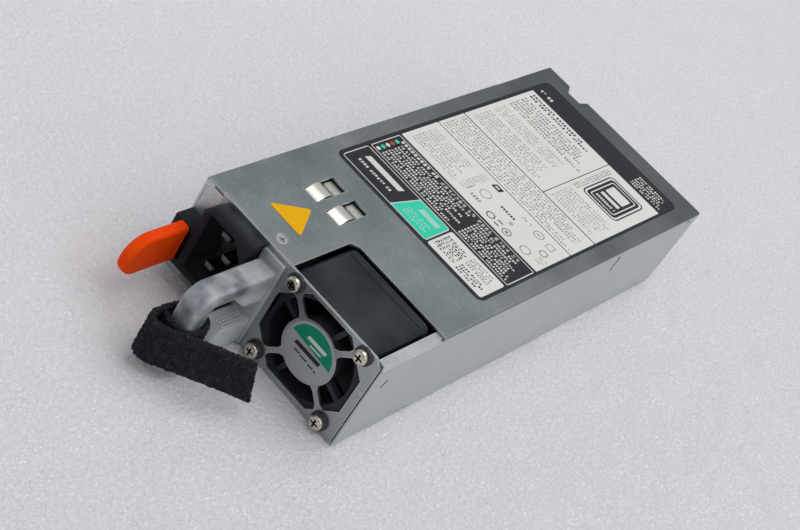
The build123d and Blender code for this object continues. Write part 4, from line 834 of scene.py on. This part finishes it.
patch = {
    # mm, with near and far counted from the front
    "left": -8.5, "right": -4.8, "near": -13.1, "far": -2.6, "low": 11.15, "high": 11.6,
    "rim": 0.3, "floor": 0.15, "pip": 0.32, "pipHigh": 0.26, "rows": 2, "columns": 7,
}
patchLow = Vector((patch["left"], patch["near"] + caseFront / mm, patch["low"])) * mm
patchHigh = Vector((patch["right"], patch["far"] + caseFront / mm, patch["high"])) * mm
plate = start(bpy.ops.mesh.primitive_cube_add, size=1, location=(patchLow + patchHigh) / 2)
plate.scale = patchHigh - patchLow
applied(plate)
modify(plate, "BEVEL", width=0.12 * mm, segments=2)
pick(plate, lambda centre, normal: normal.z > 0.99)
bpy.ops.mesh.inset(thickness=patch["rim"] * mm)
bpy.ops.transform.translate(value=(0, 0, -patch["floor"] * mm))
bpy.ops.object.mode_set(mode="OBJECT")
pip = start(
    bpy.ops.mesh.primitive_cylinder_add, vertices=12, radius=patch["pip"] * mm, depth=patch["pipHigh"] * mm,
    location=(0, 0, (patch["high"] - patch["floor"] + patch["pipHigh"] / 2 - 0.02) * mm),
)
applied(pip)
modify(pip, "BEVEL", width=0.08 * mm, segments=2)
pips = []
for row in range(patch["rows"]):
    for column in range(patch["columns"]):
        copy = pip.copy()
        copy.data = pip.data.copy()
        bpy.context.scene.collection.objects.link(copy)
        acrossShare = (row + 0.9) / (patch["rows"] + 0.8)
        alongShare = (column + 0.9) / (patch["columns"] + 0.8)
        copy.location.x = (patch["left"] + (patch["right"] - patch["left"]) * acrossShare) * mm
        copy.location.y = caseFront + (patch["near"] + (patch["far"] - patch["near"]) * alongShare) * mm
        pips.append(copy)
bpy.data.objects.remove(pip)
patchFinish = {"low": (0.40, 0.43, 0.435), "high": (0.78, 0.84, 0.83)}
shade = Shade("handlePatch")
fine = shade.noise(0.0006, detail=3)
# painted highlight: the tops of the pips and rim coloured lighter than the patch's sunken floor
tipHighlight = shade.ramp(
    shade.along("Z"), (patch["high"] - patch["floor"] + 0.04) * mm, (patch["high"] - 0.04) * mm,
)
shade.set(
    Base_Color=shade.blend(tipHighlight, patchFinish["low"], patchFinish["high"]),
    Roughness=shade.ramp(fine, 0.3, 0.7, 0.32, 0.46), Normal=shade.bump(fine, 0.02 * mm, 0.3),
)
settle(joined([plate, *pips], "handle_patch"), shade.material, "chassis")
print("handle patch modelled")


# ---- hook-and-loop strap

strap = {
    "low": 4.9, "wide": 16.0, "thick": 1.7,
    "route": [  # mm; across, distance from the case's front
        (-13.2, -35.6), (-10.9, -37.0), (-7.4, -37.1), (-4.0, -35.9), (-1.9, -33.2), (-1.6, -29.4),
        (-3.4, -25.9), (-6.6, -24.2), (-10.4, -24.3), (-13.4, -26.6), (-14.5, -30.6), (-14.7, -34.6),
        (-14.8, -38.4), (-14.4, -40.8), (-12.2, -42.1), (-9.6, -42.1), (-7.1, -40.4), (-3.4, -37.1),
        (2.2, -32.4), (8.4, -27.3), (14.0, -22.9), (20.6, -18.0),
    ],
    "endAt": (17.9, -20.9), "endLean": 0.28, "endHeading": (0.77, 0.63, 0),
    "lengthShare": 0.96,  # the curve cuts the corners of its route
    "pile": 1.1, "pileSize": 0.00055, "steps": 36,
}
bpy.ops.curve.primitive_nurbs_path_add()
line = bpy.context.object
spline = line.data.splines[0]
spline.points.add(len(strap["route"]) - len(spline.points))
for point, (across, back) in zip(spline.points, strap["route"]):
    point.co = (across * mm, back * mm + caseFront, strap["low"] * mm, 1)
spline.order_u = 4
spline.use_endpoint_u = True
line.data.resolution_u = 9
deselect()
line.select_set(True)
bpy.context.view_layer.objects.active = line
bpy.ops.object.convert(target="MESH")
band = bpy.context.object
bpy.ops.object.mode_set(mode="EDIT")
bpy.ops.mesh.select_mode(type="EDGE")
bpy.ops.mesh.select_all(action="SELECT")
stepUp = {"value": (0, 0, strap["wide"] / strap["steps"] * mm)}
for step in range(strap["steps"]):
    bpy.ops.mesh.extrude_region_move(TRANSFORM_OT_translate=stepUp)
bpy.ops.mesh.select_all(action="SELECT")
endDirection = Vector(strap["endHeading"]).normalized()
endNormal = (endDirection + Vector((0, 0, strap["endLean"]))).normalized()
bpy.ops.mesh.bisect(
    plane_co=(
        strap["endAt"][0] * mm, strap["endAt"][1] * mm + caseFront, (strap["low"] + strap["wide"] / 2) * mm,
    ),
    plane_no=endNormal, clear_outer=True, use_fill=False,
)
bpy.ops.mesh.select_all(action="SELECT")
bpy.ops.mesh.normals_make_consistent(inside=False)
bpy.ops.object.mode_set(mode="OBJECT")
modify(band, "SOLIDIFY", thickness=strap["thick"] * mm, offset=0.0)
modify(band, "SUBSURF", levels=1, render_levels=1)
pileBumps = bpy.data.textures.new("pileBumps", "CLOUDS")
pileBumps.noise_scale = strap["pileSize"]
pileBumps.noise_depth = 1
modify(
    band, "DISPLACE", texture=pileBumps, texture_coords="LOCAL", strength=strap["pile"] * mm, mid_level=0.5,
)
band.name = "strap_band"

shade = Shade("loopPile")
pile = shade.noise(0.00035, detail=3, roughness=0.7)
clumps = shade.noise(0.0022, detail=3)
ribs = shade.noise(0.0009, (1, 1, 0.25), detail=2)
strapColours = {"deep": (0.004, 0.004, 0.006), "pile": (0.014, 0.0155, 0.021), "tips": (0.036, 0.038, 0.048)}
tone = shade.blend(shade.ramp(pile, 0.35, 0.60), strapColours["deep"], strapColours["pile"])
tone = shade.blend(shade.ramp(pile * clumps * ribs * 4, 0.45, 0.85), tone, strapColours["tips"])
shade.set(
    Base_Color=tone, Roughness=shade.ramp(pile, 0, 1, 0.88, 0.98), Specular_IOR_Level=0.2,
    Sheen_Weight=0.06, Sheen_Roughness=0.5, Normal=shade.bump(pile + clumps, 0.5 * mm, 0.8),
)
settle(band, shade.material, "strap", smooth=60)
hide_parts("cable_strap")
